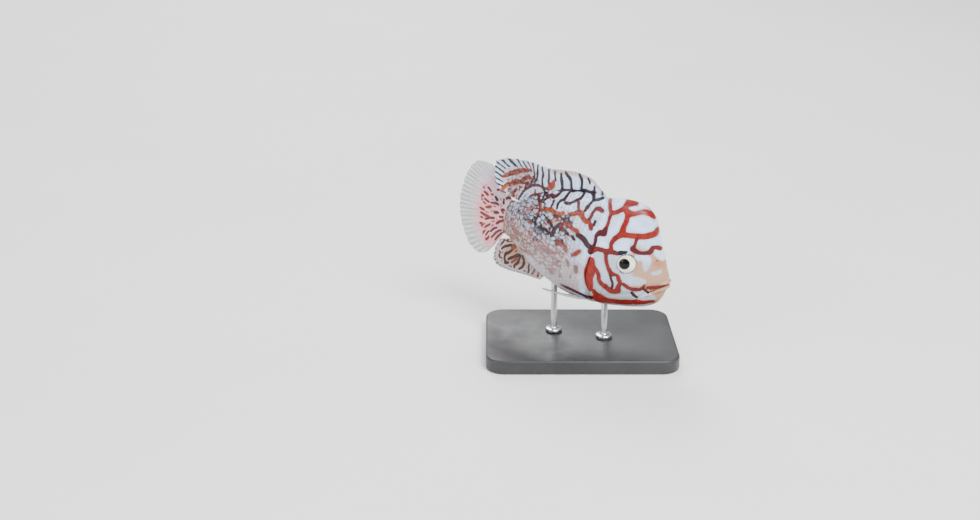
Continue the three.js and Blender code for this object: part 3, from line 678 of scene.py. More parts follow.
def grid_normals(points, order):
    """The way that the skin looks at each vertex of a sheet wound round the body."""
    rings = points[order]
    along = np.gradient(rings, axis=0)
    around = rings.copy()
    around[:, 1:-1] = rings[:, 2:] - rings[:, :-2]
    around[:, 0] = around[:, -1] = rings[:, 1] - rings[:, -2]
    facing = np.cross(along, around)
    facing /= np.maximum(np.linalg.norm(facing, axis=2, keepdims=True), 1e-9)
    out = np.empty_like(points)
    out[order] = facing
    return out


def sheet_order(a, b, columns, rows):
    """The number of the vertex at each column and row of a sheet."""
    order = np.empty((columns + 1, rows + 1), int)
    order[np.rint(a * columns).astype(int), np.rint(b * rows).astype(int)] = np.arange(len(a))
    return order


# Materials
def node_group(name, inputs, outputs):
    """An empty shader group with named sockets: inputs are (name, kind, default), outputs (name, kind)."""
    group = bpy.data.node_groups.new(name, "ShaderNodeTree")
    for socket, kind, default in inputs:
        made = group.interface.new_socket(name=socket, in_out="INPUT", socket_type=kind)
        made.default_value = default
    for socket, kind in outputs:
        group.interface.new_socket(name=socket, in_out="OUTPUT", socket_type=kind)
    entry = group.nodes.new("NodeGroupInput")
    leave = group.nodes.new("NodeGroupOutput")
    return group, entry.outputs, leave.inputs


def fed(tree, node, values):
    """Gives a node's inputs numbers or links, by name or number."""
    for socket, value in values.items():
        if isinstance(value, bpy.types.NodeSocket):
            tree.links.new(value, node.inputs[socket])
        else:
            node.inputs[socket].default_value = value
    return node


def put(tree, kind, values=None, **settings):
    """Adds a node, sets its properties and feeds its inputs."""
    node = tree.nodes.new(kind)
    for name, value in settings.items():
        setattr(node, name, value)
    return fed(tree, node, values or {})


def maths(tree, operation, a, b=0.0, clamp=False):
    return put(tree, "ShaderNodeMath", {0: a, 1: b}, operation=operation, use_clamp=clamp).outputs[0]


def mixed(tree, amount, a, b, blend="MIX"):
    values = {0: amount, 6: a, 7: b}
    return put(tree, "ShaderNodeMix", values, data_type="RGBA", blend_type=blend).outputs[2]


def ranged(tree, value, low, high, start=0.0, end=1.0):
    values = {"Value": value, "From Min": low, "From Max": high, "To Min": start, "To Max": end}
    return put(tree, "ShaderNodeMapRange", values, interpolation_type="SMOOTHSTEP").outputs[0]


def noise(tree, place, scale, detail=3.0):
    values = {"Vector": place, "Scale": scale, "Detail": detail}
    return put(tree, "ShaderNodeTexNoise", values).outputs["Fac"]


def kept(tree, name):
    return put(tree, "ShaderNodeAttribute", attribute_name=name).outputs["Fac"]


PAINTS = ("pearl", "tan", "dusk", "dark", "red", "amber")


def reticulation_group():
    """Crisp black, brick red and amber lines over a pearl, tan or dusky ground, from the mesh's numbers."""
    colour = "NodeSocketColor"
    number = "NodeSocketFloat"
    group, given, result = node_group(
        "Reticulation",
        [
            ("Place", "NodeSocketVector", (0, 0, 0)),
            ("Line", number, 1.0),
            *[(name, number, 0.0) for name in ("Warm", "Tan", "Dusk")],
            ("Softness", number, 0.2),
            *[(f"{name.title()} Colour", colour, (1, 1, 1, 1)) for name in PAINTS],
        ],
        [("Colour", colour), ("Marked", number)],
    )
    place = given["Place"]
    ragged = maths(group, "MULTIPLY", maths(group, "SUBTRACT", noise(group, place, 1100.0), 0.5), 0.5)
    edge = maths(group, "ADD", given["Line"], ragged)
    marked = ranged(group, maths(group, "DIVIDE", edge, given["Softness"]), 1.0, -1.0)
    warm = maths(group, "ADD", given["Warm"], 0.0, True)
    hot = maths(group, "SUBTRACT", given["Warm"], 1.0, True)
    tan = maths(group, "ADD", given["Tan"], 0.0, True)
    toasted = maths(group, "SUBTRACT", given["Tan"], 1.0, True)
    cloud = ranged(group, noise(group, place, 170.0), 0.35, 0.68, 0.0, 0.3)
    ground = mixed(group, cloud, given["Pearl Colour"], given["Dusk Colour"])
    ground = mixed(group, given["Dusk"], ground, given["Dusk Colour"])
    ground = mixed(group, tan, ground, given["Tan Colour"])
    ground = mixed(group, toasted, ground, given["Amber Colour"])
    only_red = maths(group, "SUBTRACT", warm, hot)
    blush = maths(group, "MULTIPLY", ranged(group, edge, 1.3, 0.0, 0.0, 0.3), only_red)
    ground = mixed(group, blush, ground, given["Red Colour"])
    ink = mixed(group, warm, given["Dark Colour"], given["Red Colour"])
    ink = mixed(group, hot, ink, given["Amber Colour"])
    blot = ranged(group, noise(group, place, 480.0, 2.0), 0.4, 0.66, 0.0, 0.4)
    ink = mixed(group, blot, ink, given["Dark Colour"])
    ink = mixed(group, maths(group, "MULTIPLY", tan, 0.5), ink, given["Dark Colour"])
    group.links.new(mixed(group, marked, ground, ink), result["Colour"])
    group.links.new(marked, result["Marked"])
    return group


def new_material(name):
    """A material, its node tree, its shader and the place on the piece for its patterns."""
    material = bpy.data.materials.new(name)
    material.use_nodes = True
    tree = material.node_tree
    place = put(tree, "ShaderNodeTexCoord").outputs["Object"]
    return material, tree, tree.nodes["Principled BSDF"], place


def reticulated(tree, place, paint, softness=0.2):
    values = {"Place": place, "Softness": softness}
    for name in ("line", "warm", "tan", "dusk"):
        values[name.title()] = kept(tree, name)
    for name in PAINTS:
        values[f"{name.title()} Colour"] = (*getattr(paint, name), 1)
    group = bpy.data.node_groups.get("Reticulation") or reticulation_group()
    return put(tree, "ShaderNodeGroup", values, node_tree=group).outputs


def raised(tree, height, distance, strength=0.5):
    values = {"Height": height, "Distance": distance, "Strength": strength}
    return put(tree, "ShaderNodeBump", values).outputs["Normal"]


def skin_material(paint):
    material, tree, shader, place = new_material("wet_skin")
    pores = put(tree, "ShaderNodeTexVoronoi", {"Vector": place, "Scale": 1100.0}).outputs["Distance"]
    grain = maths(tree, "ADD", pores, noise(tree, place, 2200.0, 4.0))
    fed(tree, shader, {
        "Base Color": reticulated(tree, place, paint)["Colour"],
        "Normal": raised(tree, grain, 0.00008, 0.6),
        "Roughness": ranged(tree, noise(tree, place, 500.0), 0.3, 0.7, 0.3, 0.46),
        "Specular IOR Level": 0.22,
        "Coat Weight": 0.06,
        "Coat Roughness": 0.12,
    })
    return material


def scale_material(paint):
    """The skin's pattern, each scale's own tint, painted shade along its free edge, dusky speckle and growth
    rings.
    """
    material, tree, shader, place = new_material("wet_scales")
    edge = kept(tree, "free_edge")
    draw = kept(tree, "scale_draw")
    # Painted shade: the part of each scale nearest its free edge is darkened towards the dark paint; the
    # speckle joined to it is the fish's own pigment.
    rim = ranged(tree, edge, 0.78, 1.0, 0.0, 0.3)
    speckle = maths(tree, "MULTIPLY", kept(tree, "dusk"), ranged(tree, draw, 0.3, 0.75, 0.0, 3.4))
    speckle = maths(tree, "MULTIPLY", speckle, ranged(tree, edge, 0.45, 0.9))
    rim = maths(tree, "MAXIMUM", rim, speckle, True)
    shade = mixed(tree, rim, reticulated(tree, place, paint)["Colour"], (*paint.dark, 1))
    tint = ranged(tree, draw, 0.0, 1.0, 0.86, 1.12)
    growth = maths(tree, "SINE", maths(tree, "MULTIPLY", edge, 60.0))
    grain = maths(tree, "ADD", maths(tree, "MULTIPLY", growth, 0.2), noise(tree, place, 1800.0))
    fed(tree, shader, {
        "Base Color": mixed(tree, 1.0, shade, tint, "MULTIPLY"),
        "Normal": raised(tree, grain, 0.00006),
        "Roughness": ranged(tree, noise(tree, place, 700.0), 0.3, 0.7, 0.26, 0.42),
        "Specular IOR Level": 0.35,
        "Coat Weight": 0.15,
        "Coat Roughness": 0.1,
    })
    return material


def fin_material(paint, name):
    """A membrane that clears where it is unmarked, between rays that show through it."""
    material, tree, shader, place = new_material(name)
    marks = reticulated(tree, place, paint, 0.22)
    marked = marks["Marked"]
    ray = kept(tree, "ray")
    clear = kept(tree, "clear")
    rosy = mixed(tree, marked, (*paint.rose, 1), marks["Colour"])
    shade = mixed(tree, kept(tree, "rose"), marks["Colour"], rosy)
    bare = maths(tree, "SUBTRACT", 0.18, maths(tree, "MULTIPLY", marked, 0.18))
    stiff = maths(tree, "SUBTRACT", 1.0, maths(tree, "MULTIPLY", clear, 0.93))
    solid = maths(tree, "SUBTRACT", 1.0, clear)
    solid = maths(tree, "MAXIMUM", solid, maths(tree, "MULTIPLY", ray, stiff))
    joints = maths(tree, "SINE", maths(tree, "MULTIPLY", kept(tree, "reach"), 9.0))
    ridges = maths(tree, "MULTIPLY", maths(tree, "MULTIPLY", joints, ray), 0.5)
    grain = maths(tree, "ADD", ridges, noise(tree, place, 1500.0))
    fed(tree, shader, {
        "Base Color": mixed(tree, maths(tree, "MULTIPLY", ray, bare), shade, (*paint.tan, 1)),
        "Alpha": maths(tree, "MAXIMUM", solid, maths(tree, "MULTIPLY", marked, 0.9), True),
        "Normal": raised(tree, grain, 0.00006),
        "Roughness": 0.38,
        "Specular IOR Level": 0.35,
        "Coat Weight": 0.1,
        "Coat Roughness": 0.15,
    })
    return material


def eye_material(paint):
    """A pupil in a thin gold ring, an iris that is yellow-green above, and a dark rim."""
    material, tree, shader, _ = new_material("eye")
    out = kept(tree, "from_pupil")
    angle = kept(tree, "round_pupil")
    streaks = put(tree, "ShaderNodeCombineXYZ", {0: maths(tree, "MULTIPLY", angle, 26.0), 1: out})
    streak = ranged(tree, noise(tree, streaks.outputs[0], 1.0, 4.0), 0.45, 0.75, 0.0, 0.4)
    green = ranged(tree, maths(tree, "SINE", maths(tree, "SUBTRACT", angle, 0.2)), 0.2, 1.0, 0.0, 0.75)
    shade = mixed(tree, green, (*paint.iris, 1), (*paint.iris_top, 1))
    shade = mixed(tree, streak, shade, (*paint.iris_top, 1))
    shade = mixed(tree, ranged(tree, kept(tree, "from_axis"), *IRIS_EDGE), shade, (0.05, 0.06, 0.07, 1))
    shade = mixed(tree, ranged(tree, out, *PUPIL["gold_edge"]), shade, (0.32, 0.24, 0.1, 1))
    fed(tree, shader, {
        "Base Color": mixed(tree, ranged(tree, out, *PUPIL["edge"]), shade, (0.002, 0.002, 0.003, 1)),
        "Roughness": 0.2,
        "Specular IOR Level": 0.1,
        "Coat Weight": 0.25,
        "Coat Roughness": 0.03,
    })
    return material


def base_material():
    material, tree, shader, place = new_material("satin_black")
    cloud = ranged(tree, noise(tree, place, 40.0, 5.0), 0.3, 0.7)
    fed(tree, shader, {
        "Base Color": mixed(tree, cloud, (0.018, 0.019, 0.021, 1), (0.03, 0.031, 0.034, 1)),
        "Normal": raised(tree, noise(tree, place, 2600.0, 2.0), 0.00005, 0.4),
        "Roughness": ranged(tree, noise(tree, place, 90.0), 0.3, 0.7, 0.42, 0.55),
    })
    return material


def rod_material():
    material, tree, shader, place = new_material("brushed_steel")
    stretched = put(tree, "ShaderNodeMapping", {"Vector": place, "Scale": (1.0, 1.0, 0.05)}).outputs[0]
    brushed = noise(tree, stretched, 3000.0, 4.0)
    fed(tree, shader, {
        "Base Color": mixed(tree, brushed, (0.42, 0.42, 0.43, 1), (0.66, 0.66, 0.67, 1)),
        "Normal": raised(tree, brushed, 0.00003, 0.4),
        "Roughness": ranged(tree, brushed, 0.3, 0.7, 0.24, 0.38),
        "Metallic": 1.0,
    })
    return material


def floor_material():
    material, tree, shader, place = new_material("pale_floor")
    tint = ranged(tree, noise(tree, place, 6.0), 0.3, 0.7)
    fed(tree, shader, {
        "Base Color": mixed(tree, tint, (0.78, 0.78, 0.77, 1), (0.8, 0.8, 0.79, 1)),
        "Roughness": 0.7,
    })
    return material


# Sizes and colours that can be changed
def colour_property(name, description, default):
    return FloatVectorProperty(
        name=name, description=description, default=default, subtype="COLOR", min=0, max=1)


def length_property(name, description, default):
    return FloatProperty(name=name, description=description, default=default * MM, subtype="DISTANCE")


class FlowerhornSettings(PropertyGroup):
    """Sizes and colours of the fish and its stand."""

    skin_rings: IntProperty(name="Skin rings", description="Faces from snout to tail", default=330, min=60)
    skin_sides: IntProperty(name="Skin sides", description="Faces round each ring", default=280, min=40)
    scale_length: length_property("Scale", "Length of a flank scale's open part", 2.15)
    scale_thickness: length_property("Scale thickness", "Thickness of a scale", 0.12)
    pearl: colour_property("Pearl", "Pale cells of the skin", (0.58, 0.72, 0.97))
    tan: colour_property("Tan", "Snout and belly", (0.43, 0.26, 0.17))
    dusk: colour_property("Dusk", "Grey-green shade of jaw and flank", (0.28, 0.31, 0.29))
    dark: colour_property("Dark", "Dark lines", (0.01, 0.006, 0.012))
    red: colour_property("Red", "Brick red lines", (0.235, 0.014, 0.007))
    amber: colour_property("Amber", "Amber blotches", (0.4, 0.085, 0.006))
    rose: colour_property("Rose", "Heart of the tail fin", (0.85, 0.33, 0.33))
    iris: colour_property("Iris", "Lower part of the iris", (0.95, 0.95, 0.9))
    iris_top: colour_property("Iris top", "Upper part of the iris", (0.66, 0.68, 0.34))
    key_light: FloatProperty(name="Key light", description="Power of the main lamp", default=68, unit="POWER")


def settings():
    return bpy.context.scene.flowerhorn


# Skin
ring_place = through([(0, 0), (0.05, 0.9), (0.5, 36), (0.62, 44), (1, 95.6)])
SNOUT_ROUND = 1.2
STEM_ROUND = 1.6


def body_point(s, turn):
    """A place on the body's plain form, by distance behind the snout and turn round it from the left side."""
    inside = np.minimum(s, STANDARD_LENGTH)
    nose = np.sqrt(np.clip(1 - (1 - np.clip(s / SNOUT_ROUND, 0, 1)) ** 2, 0, 1))
    stem = np.sqrt(np.clip(1 - np.clip((s - STANDARD_LENGTH) / STEM_ROUND, 0, 1) ** 2, 0, 1))
    level = widest(inside)
    up = np.sin(turn)
    out = np.cos(turn)
    upper = up > 0
    reach = np.where(upper, back(inside) - level, level - belly(inside))
    power = 2 / np.where(upper, upper_roundness(inside), lower_roundness(inside))
    lat = half_width(inside) * nose * stem * np.sign(out) * np.abs(out) ** power
    z = level + reach * (nose * (0.55 + 0.45 * stem)) * np.sign(up) * np.abs(up) ** power
    return np.stack([s, z, lat], axis=-1)


def skin_points(a, b, order):
    """The body's form with its relief, in fish space."""
    points = body_point(ring_place(a), 2 * math.pi * b - math.pi / 2)
    return points + grid_normals(points, order) * relief(*points.T)[:, None]


def build_skin():
    rings, sides = settings().skin_rings, settings().skin_sides
    piece, a, b = sheet("skin", rings, sides)
    points = skin_points(a, b, sheet_order(a, b, rings, sides))
    painted(piece, **body_markings(points))
    shaped(piece, posed(*points.T))
    in_edit_mode(piece, merge_doubles, close_ends, face_outwards)
    smooth(piece)
    finished(piece, skin_material(settings()), "skin", "head", "lower_jaw", "trunk", "tail_stem",
             "gill_cover_left", "gill_cover_right")


def close_ends():
    bpy.ops.mesh.select_all(action="DESELECT")
    bpy.ops.mesh.select_non_manifold(extend=False, use_wire=False, use_boundary=True,
                                     use_multi_face=False, use_non_contiguous=False, use_verts=False)
    bpy.ops.mesh.edge_face_add()
    bpy.ops.mesh.select_all(action="SELECT")


# Scales
scales_start = through([
    (-20, 30), (-17, 34), (-12, 37), (-5, 39.3), (4, 39.6), (13, 38.6), (17, 36.5), (22, 35.5), (28, 34.5),
    (34, 33),
])
SCALE_ROWS = 5
SCALE_COLUMNS = 6
SCALES = {
    "first": 30.0, "last": 93.6, "end": 95.4, "step": 0.86,
    "rear": (66, 92), "rear_smaller": 0.42, "front": (44, 34), "front_smaller": 0.2,
}
SCALE_LIFT = 0.02
FLANK = {"from": 20, "to": 95, "rings": 301, "turns": 241}


class Flank:
    """The body's side by distance behind the snout and by height along the skin, with a lift off it."""

    def __init__(self, hand):
        self.hand = hand
        self.s = np.linspace(FLANK["from"], FLANK["to"], FLANK["rings"])
        self.per_mm = (FLANK["rings"] - 1) / (FLANK["to"] - FLANK["from"])
        turn = np.linspace(-math.pi / 2, math.pi / 2, FLANK["turns"])
        s, turn = np.meshgrid(self.s, turn, indexing="ij")
        self.points = body_point(s, turn)
        steps = np.linalg.norm(np.diff(self.points[:, :, 1:], axis=1), axis=2)
        length = np.concatenate([np.zeros((len(self.s), 1)), np.cumsum(steps, axis=1)], axis=1)
        middle = FLANK["turns"] // 2
        self.length = length - length[:, middle:middle + 1]
        facing = np.cross(np.gradient(self.points, axis=1), np.gradient(self.points, axis=0))
        facing /= np.maximum(np.linalg.norm(facing, axis=2, keepdims=True), 1e-9)
        self.facing = facing * np.sign(facing[FLANK["rings"] // 2, middle, 2])

    def reach(self, s):
        """The lowest and the highest place along the skin."""
        i = int(np.clip(np.rint((s - FLANK["from"]) * self.per_mm), 0, FLANK["rings"] - 1))
        return self.length[i, 0], self.length[i, -1]

    def on_ring(self, ring, height):
        """Points of rings, and the way the skin faces there, at heights along the skin."""
        rows = self.length[ring]
        k = np.clip((rows < height[:, None]).sum(axis=1) - 1, 0, FLANK["turns"] - 2)
        r = np.arange(len(k))
        t = ((height - rows[r, k]) / np.maximum(rows[r, k + 1] - rows[r, k], 1e-6))[:, None]
        return [grid[ring, k] * (1 - t) + grid[ring, k + 1] * t for grid in (self.points, self.facing)]

    def place(self, s, height, lift):
        i = np.clip((s - FLANK["from"]) * self.per_mm, 0, FLANK["rings"] - 1.001)
        low = i.astype(int)
        share = (i - low)[:, None]
        point, facing = (a * (1 - share) + b * share
                         for a, b in zip(self.on_ring(low, height), self.on_ring(low + 1, height)))
        point = point + facing * lift[:, None]
        point[:, 2] *= self.hand
        return point


def scale_roots(flank, length):
    """Where scales grow, in slanting rows: distance behind the snout, height along the skin, and size."""
    roots = []
    s = SCALES["first"]
    column = 0
    while s < SCALES["last"]:
        rear = SCALES["rear_smaller"] * float(ease(s, *SCALES["rear"]))
        size = length * (1 - rear - SCALES["front_smaller"] * float(ease(s, *SCALES["front"])))
        low, high = flank.reach(s)
        for row in range(math.ceil(low / size) - 1, math.ceil(high / size) + 1):
            height = (row + 0.5 * (column % 2)) * size
            if low + 0.25 * size < height < high - 0.15 * size:
                roots.append((s, height, size, column, row))
        s += size * SCALES["step"]
        column += 1
    return np.array(roots)


def scale_form():
    """One scale, lying back: along and across in scale lengths, lift in thicknesses, nearness to its edge."""
    across = np.linspace(-1, 1, SCALE_COLUMNS + 1)
    along = np.linspace(0, 1, SCALE_ROWS + 1)
    v, u = np.meshgrid(along, across, indexing="ij")
    outline = np.sqrt(np.clip(1 - 0.92 * u**2, 0, 1))
    x = -0.35 + v * (0.62 + 0.98 * outline)
    swelling = 0.72 + 0.28 * np.sin(np.clip(v * 1.25, 0, 1) * math.pi / 2)
    y = u * 0.6 * swelling * np.where(v > 0.85, 0.97, 1)
    edge = np.maximum(v, np.abs(u) * ease(v, 0.2, 0.6))
    lift = 0.25 + 1.5 * v - 0.9 * u**2 * v
    return x.ravel(), y.ravel(), lift.ravel(), edge.ravel()


def build_scales(hand, name, material):
    flank = Flank(hand)
    thick = settings().scale_thickness / MM
    roots = scale_roots(flank, settings().scale_length / MM)
    x, y, lift, edge = scale_form()
    s0, h0, size, column, row = roots.T[:, :, None]
    s = s0 + x * size
    height = h0 + y * size
    flat = flank.place(s.ravel(), height.ravel(), np.zeros(s.size))
    behind_gills = (flat[:, 0] > scales_start(flat[:, 1])).reshape(s.shape).all(axis=1)
    keep = behind_gills & (s.max(axis=1) < SCALES["end"])
    s, height = s[keep], height[keep]
    count, each = s.shape
    draw, _ = scattered(column[keep, 0] + 17 * hand, row[keep, 0], 3)
    top = (lift * thick + SCALE_LIFT) * np.ones_like(s)
    under = top - thick * (0.5 + 0.5 * (1 - edge))
    outer, inner = (flank.place(s.ravel(), height.ravel(), off.ravel()).reshape(count, each, 3)
                    for off in (top, under))
    points = np.concatenate([outer, inner], axis=1).reshape(-1, 3)
    offsets = (np.arange(count) * 2 * each)[:, None, None]
    quads = (scale_faces(each)[None] + offsets).reshape(-1, 4)
    if hand > 0:
        quads = quads[:, ::-1]
    mesh = bpy.data.meshes.new(name)
    mesh.from_pydata(posed(*points.T), [], quads.tolist())
    piece = bpy.data.objects.new(name, mesh)
    bpy.context.scene.collection.objects.link(piece)
    painted(piece, **body_markings(points), free_edge=np.tile(edge, 2 * count),
            scale_draw=np.repeat(draw, 2 * each))
    unwrap_scales(mesh, quads, s0[keep], h0[keep], x, y)
    smooth(piece)
    finished(piece, material, "skin")


def scale_faces(each):
    """Quads of a scale's outer face, inner face and rim. Its outer points come first, then its inner ones."""
    wide = SCALE_COLUMNS + 1
    faces = []
    for row in range(SCALE_ROWS):
        for column in range(SCALE_COLUMNS):
            a = row * wide + column
            faces.append((a, a + 1, a + wide + 1, a + wide))
            faces.append((a + each, a + wide + each, a + wide + 1 + each, a + 1 + each))
    border = list(range(wide))
    border += [r * wide + SCALE_COLUMNS for r in range(1, SCALE_ROWS + 1)]
    border += [SCALE_ROWS * wide + c for c in range(SCALE_COLUMNS - 1, -1, -1)]
    border += [r * wide for r in range(SCALE_ROWS - 1, 0, -1)]
    for a, b in zip(border, border[1:] + border[:1]):
        faces.append((b, a, a + each, b + each))
    return np.array(faces)


# The bake map: a scale's patch, and the flank's length and height along the skin that fill the map
PATCH = 0.0018
UNWRAP = {"from": 25, "long": 75, "high": 74}


def unwrap_scales(mesh, quads, s, height, x, y):
    """The bake map: each scale is a small patch at its root's place on the skin's own unwrap."""
    u = (s - UNWRAP["from"]) / UNWRAP["long"] + PATCH * np.tile(x - x.mean(), 2)
    v = 0.5 + height / UNWRAP["high"] + PATCH * np.tile(y, 2)
    corner = np.stack([u, v], axis=-1).reshape(-1, 2)[quads.ravel()]
    layer = mesh.uv_layers.new(name="OFBake")
    layer.data.foreach_set("uv", corner.astype(np.float32).ravel())


# Eyes
def side_facing(s, z):
    """The way that the body's left side looks at a place."""
    step = 0.4
    slope_s = (side_at(s - step, z) - side_at(s + step, z)) / (2 * step)
    slope_z = (side_at(s, z + step) - side_at(s, z - step)) / (2 * step)
    return Vector((-slope_s, 1, -slope_z)).normalized()


def build_eye(hand, name, material):
    deselected()
    bpy.ops.mesh.primitive_uv_sphere_add(segments=72, ring_count=48, radius=1)
    piece = added(name)
    local = coordinates(piece) * np.array([EYE["radius"], EYE["radius"], EYE["thick"]])
    front = local[:, 2] > 0
    local[:, 2] += CORNEA["bulge"] * bump(np.hypot(local[:, 0], local[:, 1]), CORNEA["wide"]) * front
    out = side_facing(EYE["back"], EYE["up"])
    out.y *= hand
    matrix = np.array(Vector((0, 0, 1)).rotation_difference(out).to_matrix())
    middle = np.array([-EYE["back"], hand * float(side_at(EYE["back"], EYE["up"])), EYE["up"]])
    middle = middle - EYE["sunk"] * np.array(out)
    placed = local @ matrix.T + middle
    forward = placed[:, 0] + EYE["back"]
    upward = placed[:, 2] - EYE["up"]
    inside = hand * (placed[:, 1] - middle[1]) < 0
    painted(
        piece,
        from_pupil=np.where(inside, FAR, np.hypot(forward + PUPIL["back"], upward - PUPIL["up"])),
        from_axis=np.where(inside, FAR, np.hypot(forward, upward)),
        round_pupil=np.arctan2(upward, forward),
    )
    shaped(piece, posed(-placed[:, 0], placed[:, 2], placed[:, 1]))
    in_edit_mode(piece, face_outwards)
    smooth(piece)
    finished(piece, material, "eye", name)


# Fins
def free_edge(stations):
    """A fin's free edge, from (share of the way along the fin, distance behind the snout, height)."""
    share, back_by, up = zip(*stations)
    return through(list(zip(share, back_by))), through(list(zip(share, up)))


dorsal_edge = free_edge([
    (0, 41, 32.6), (0.1, 44.5, 34.9), (0.2, 50, 38), (0.3, 56, 38.3), (0.4, 61.5, 37.4), (0.5, 67, 35.8),
    (0.6, 73.5, 34.2), (0.7, 84, 33), (0.78, 95, 30.8), (0.86, 108, 25.4), (0.93, 106.5, 18.8), (1, 99, 11.6),
])
anal_edge = free_edge([
    (0, 61.5, -19.8), (0.2, 68, -20.8), (0.4, 76, -22.5), (0.55, 83, -24.1), (0.7, 90, -24.8),
    (0.82, 94.5, -22), (0.92, 94.6, -17), (1, 92.5, -11.2),
])
caudal_edge = free_edge([
    (0, 106, 17.5), (0.08, 112, 22.4), (0.17, 117.5, 22.2), (0.27, 121, 18.5), (0.4, 122.8, 11),
    (0.5, 123, 4), (0.6, 122, -3), (0.7, 120, -9.5), (0.8, 116.5, -16.5), (0.9, 111, -23),
    (0.96, 106, -24.6), (1, 101.5, -22),
])
pectoral_length = through([(0, 17), (0.25, 23), (0.5, 22), (0.8, 16), (1, 10)])
pelvic_edge = {
    "back": through([(0, 55.5), (0.2, 56.5), (0.5, 52.5), (0.8, 48), (1, 45.5)]),
    "out": through([(0, 6.8), (1, 1.3)]),
    "up": through([(0, -20.9), (0.5, -21.1), (1, -20.9)]),
}


def back_or_belly_fin(fin, outline, edge):
    """A fin on the middle line, rooted just under the body's outline there."""
    edge_back, edge_up = edge

    def surface(share, v):
        root = between(fin["first"], fin["last"], share)
        s = between(root, edge_back(share), v)
        z = between(outline(root) + fin["over"], edge_up(share), v)
        return s, z, -fin["sway"] * v * v * ease(share, fin["sways_from"], 1)

    return surface


dorsal_surface = back_or_belly_fin(DORSAL, back, dorsal_edge)
anal_surface = back_or_belly_fin(ANAL, belly, anal_edge)


def caudal_surface(share, v):
    edge_back, edge_up = caudal_edge
    s = between(STANDARD_LENGTH - CAUDAL["sunk"], edge_back(share), v)
    z = between(between(CAUDAL["top"], CAUDAL["bottom"], share), edge_up(share), v)
    return s, z, CAUDAL["ripple"] * v * np.sin(share * CAUDAL["ripples"])


def pectoral_surface(hand, stand_off):
    """A fan of rays that stands off the flank by an angle in degrees."""
    cos, sin = math.cos(math.radians(stand_off)), math.sin(math.radians(stand_off))

    def surface(share, v):
        slope = np.radians(between(PECTORAL["top"], PECTORAL["bottom"], share))
        root_s = PECTORAL["back"] + PECTORAL["slant"] * share
        root_z = PECTORAL["up"] - PECTORAL["root"] * share
        reach = v * pectoral_length(share)
        flare = PECTORAL["flare"] * (1 - np.exp(-reach / PECTORAL["flares_in"]))
        out = side_at(root_s, root_z) - PECTORAL["sunk"] + flare + reach * sin
        return root_s + reach * cos * np.cos(slope), root_z + reach * np.sin(slope), hand * out

    return surface


def pelvic_surface(hand):
    def surface(share, v):
        root = PELVIC["back"] + PELVIC["root"] * share
        out = between(PELVIC["out"], PELVIC["inner"], share)
        s = between(root, pelvic_edge["back"](share), v)
        z = between(underside_at(root, out) + PELVIC["sunk"], pelvic_edge["up"](share), v)
        swell = PELVIC["swell"] * (1 - np.exp(-PELVIC["swells_by"] * v)) * (1 - v)
        return s, z - swell, hand * between(out, pelvic_edge["out"](share), v)

    return surface


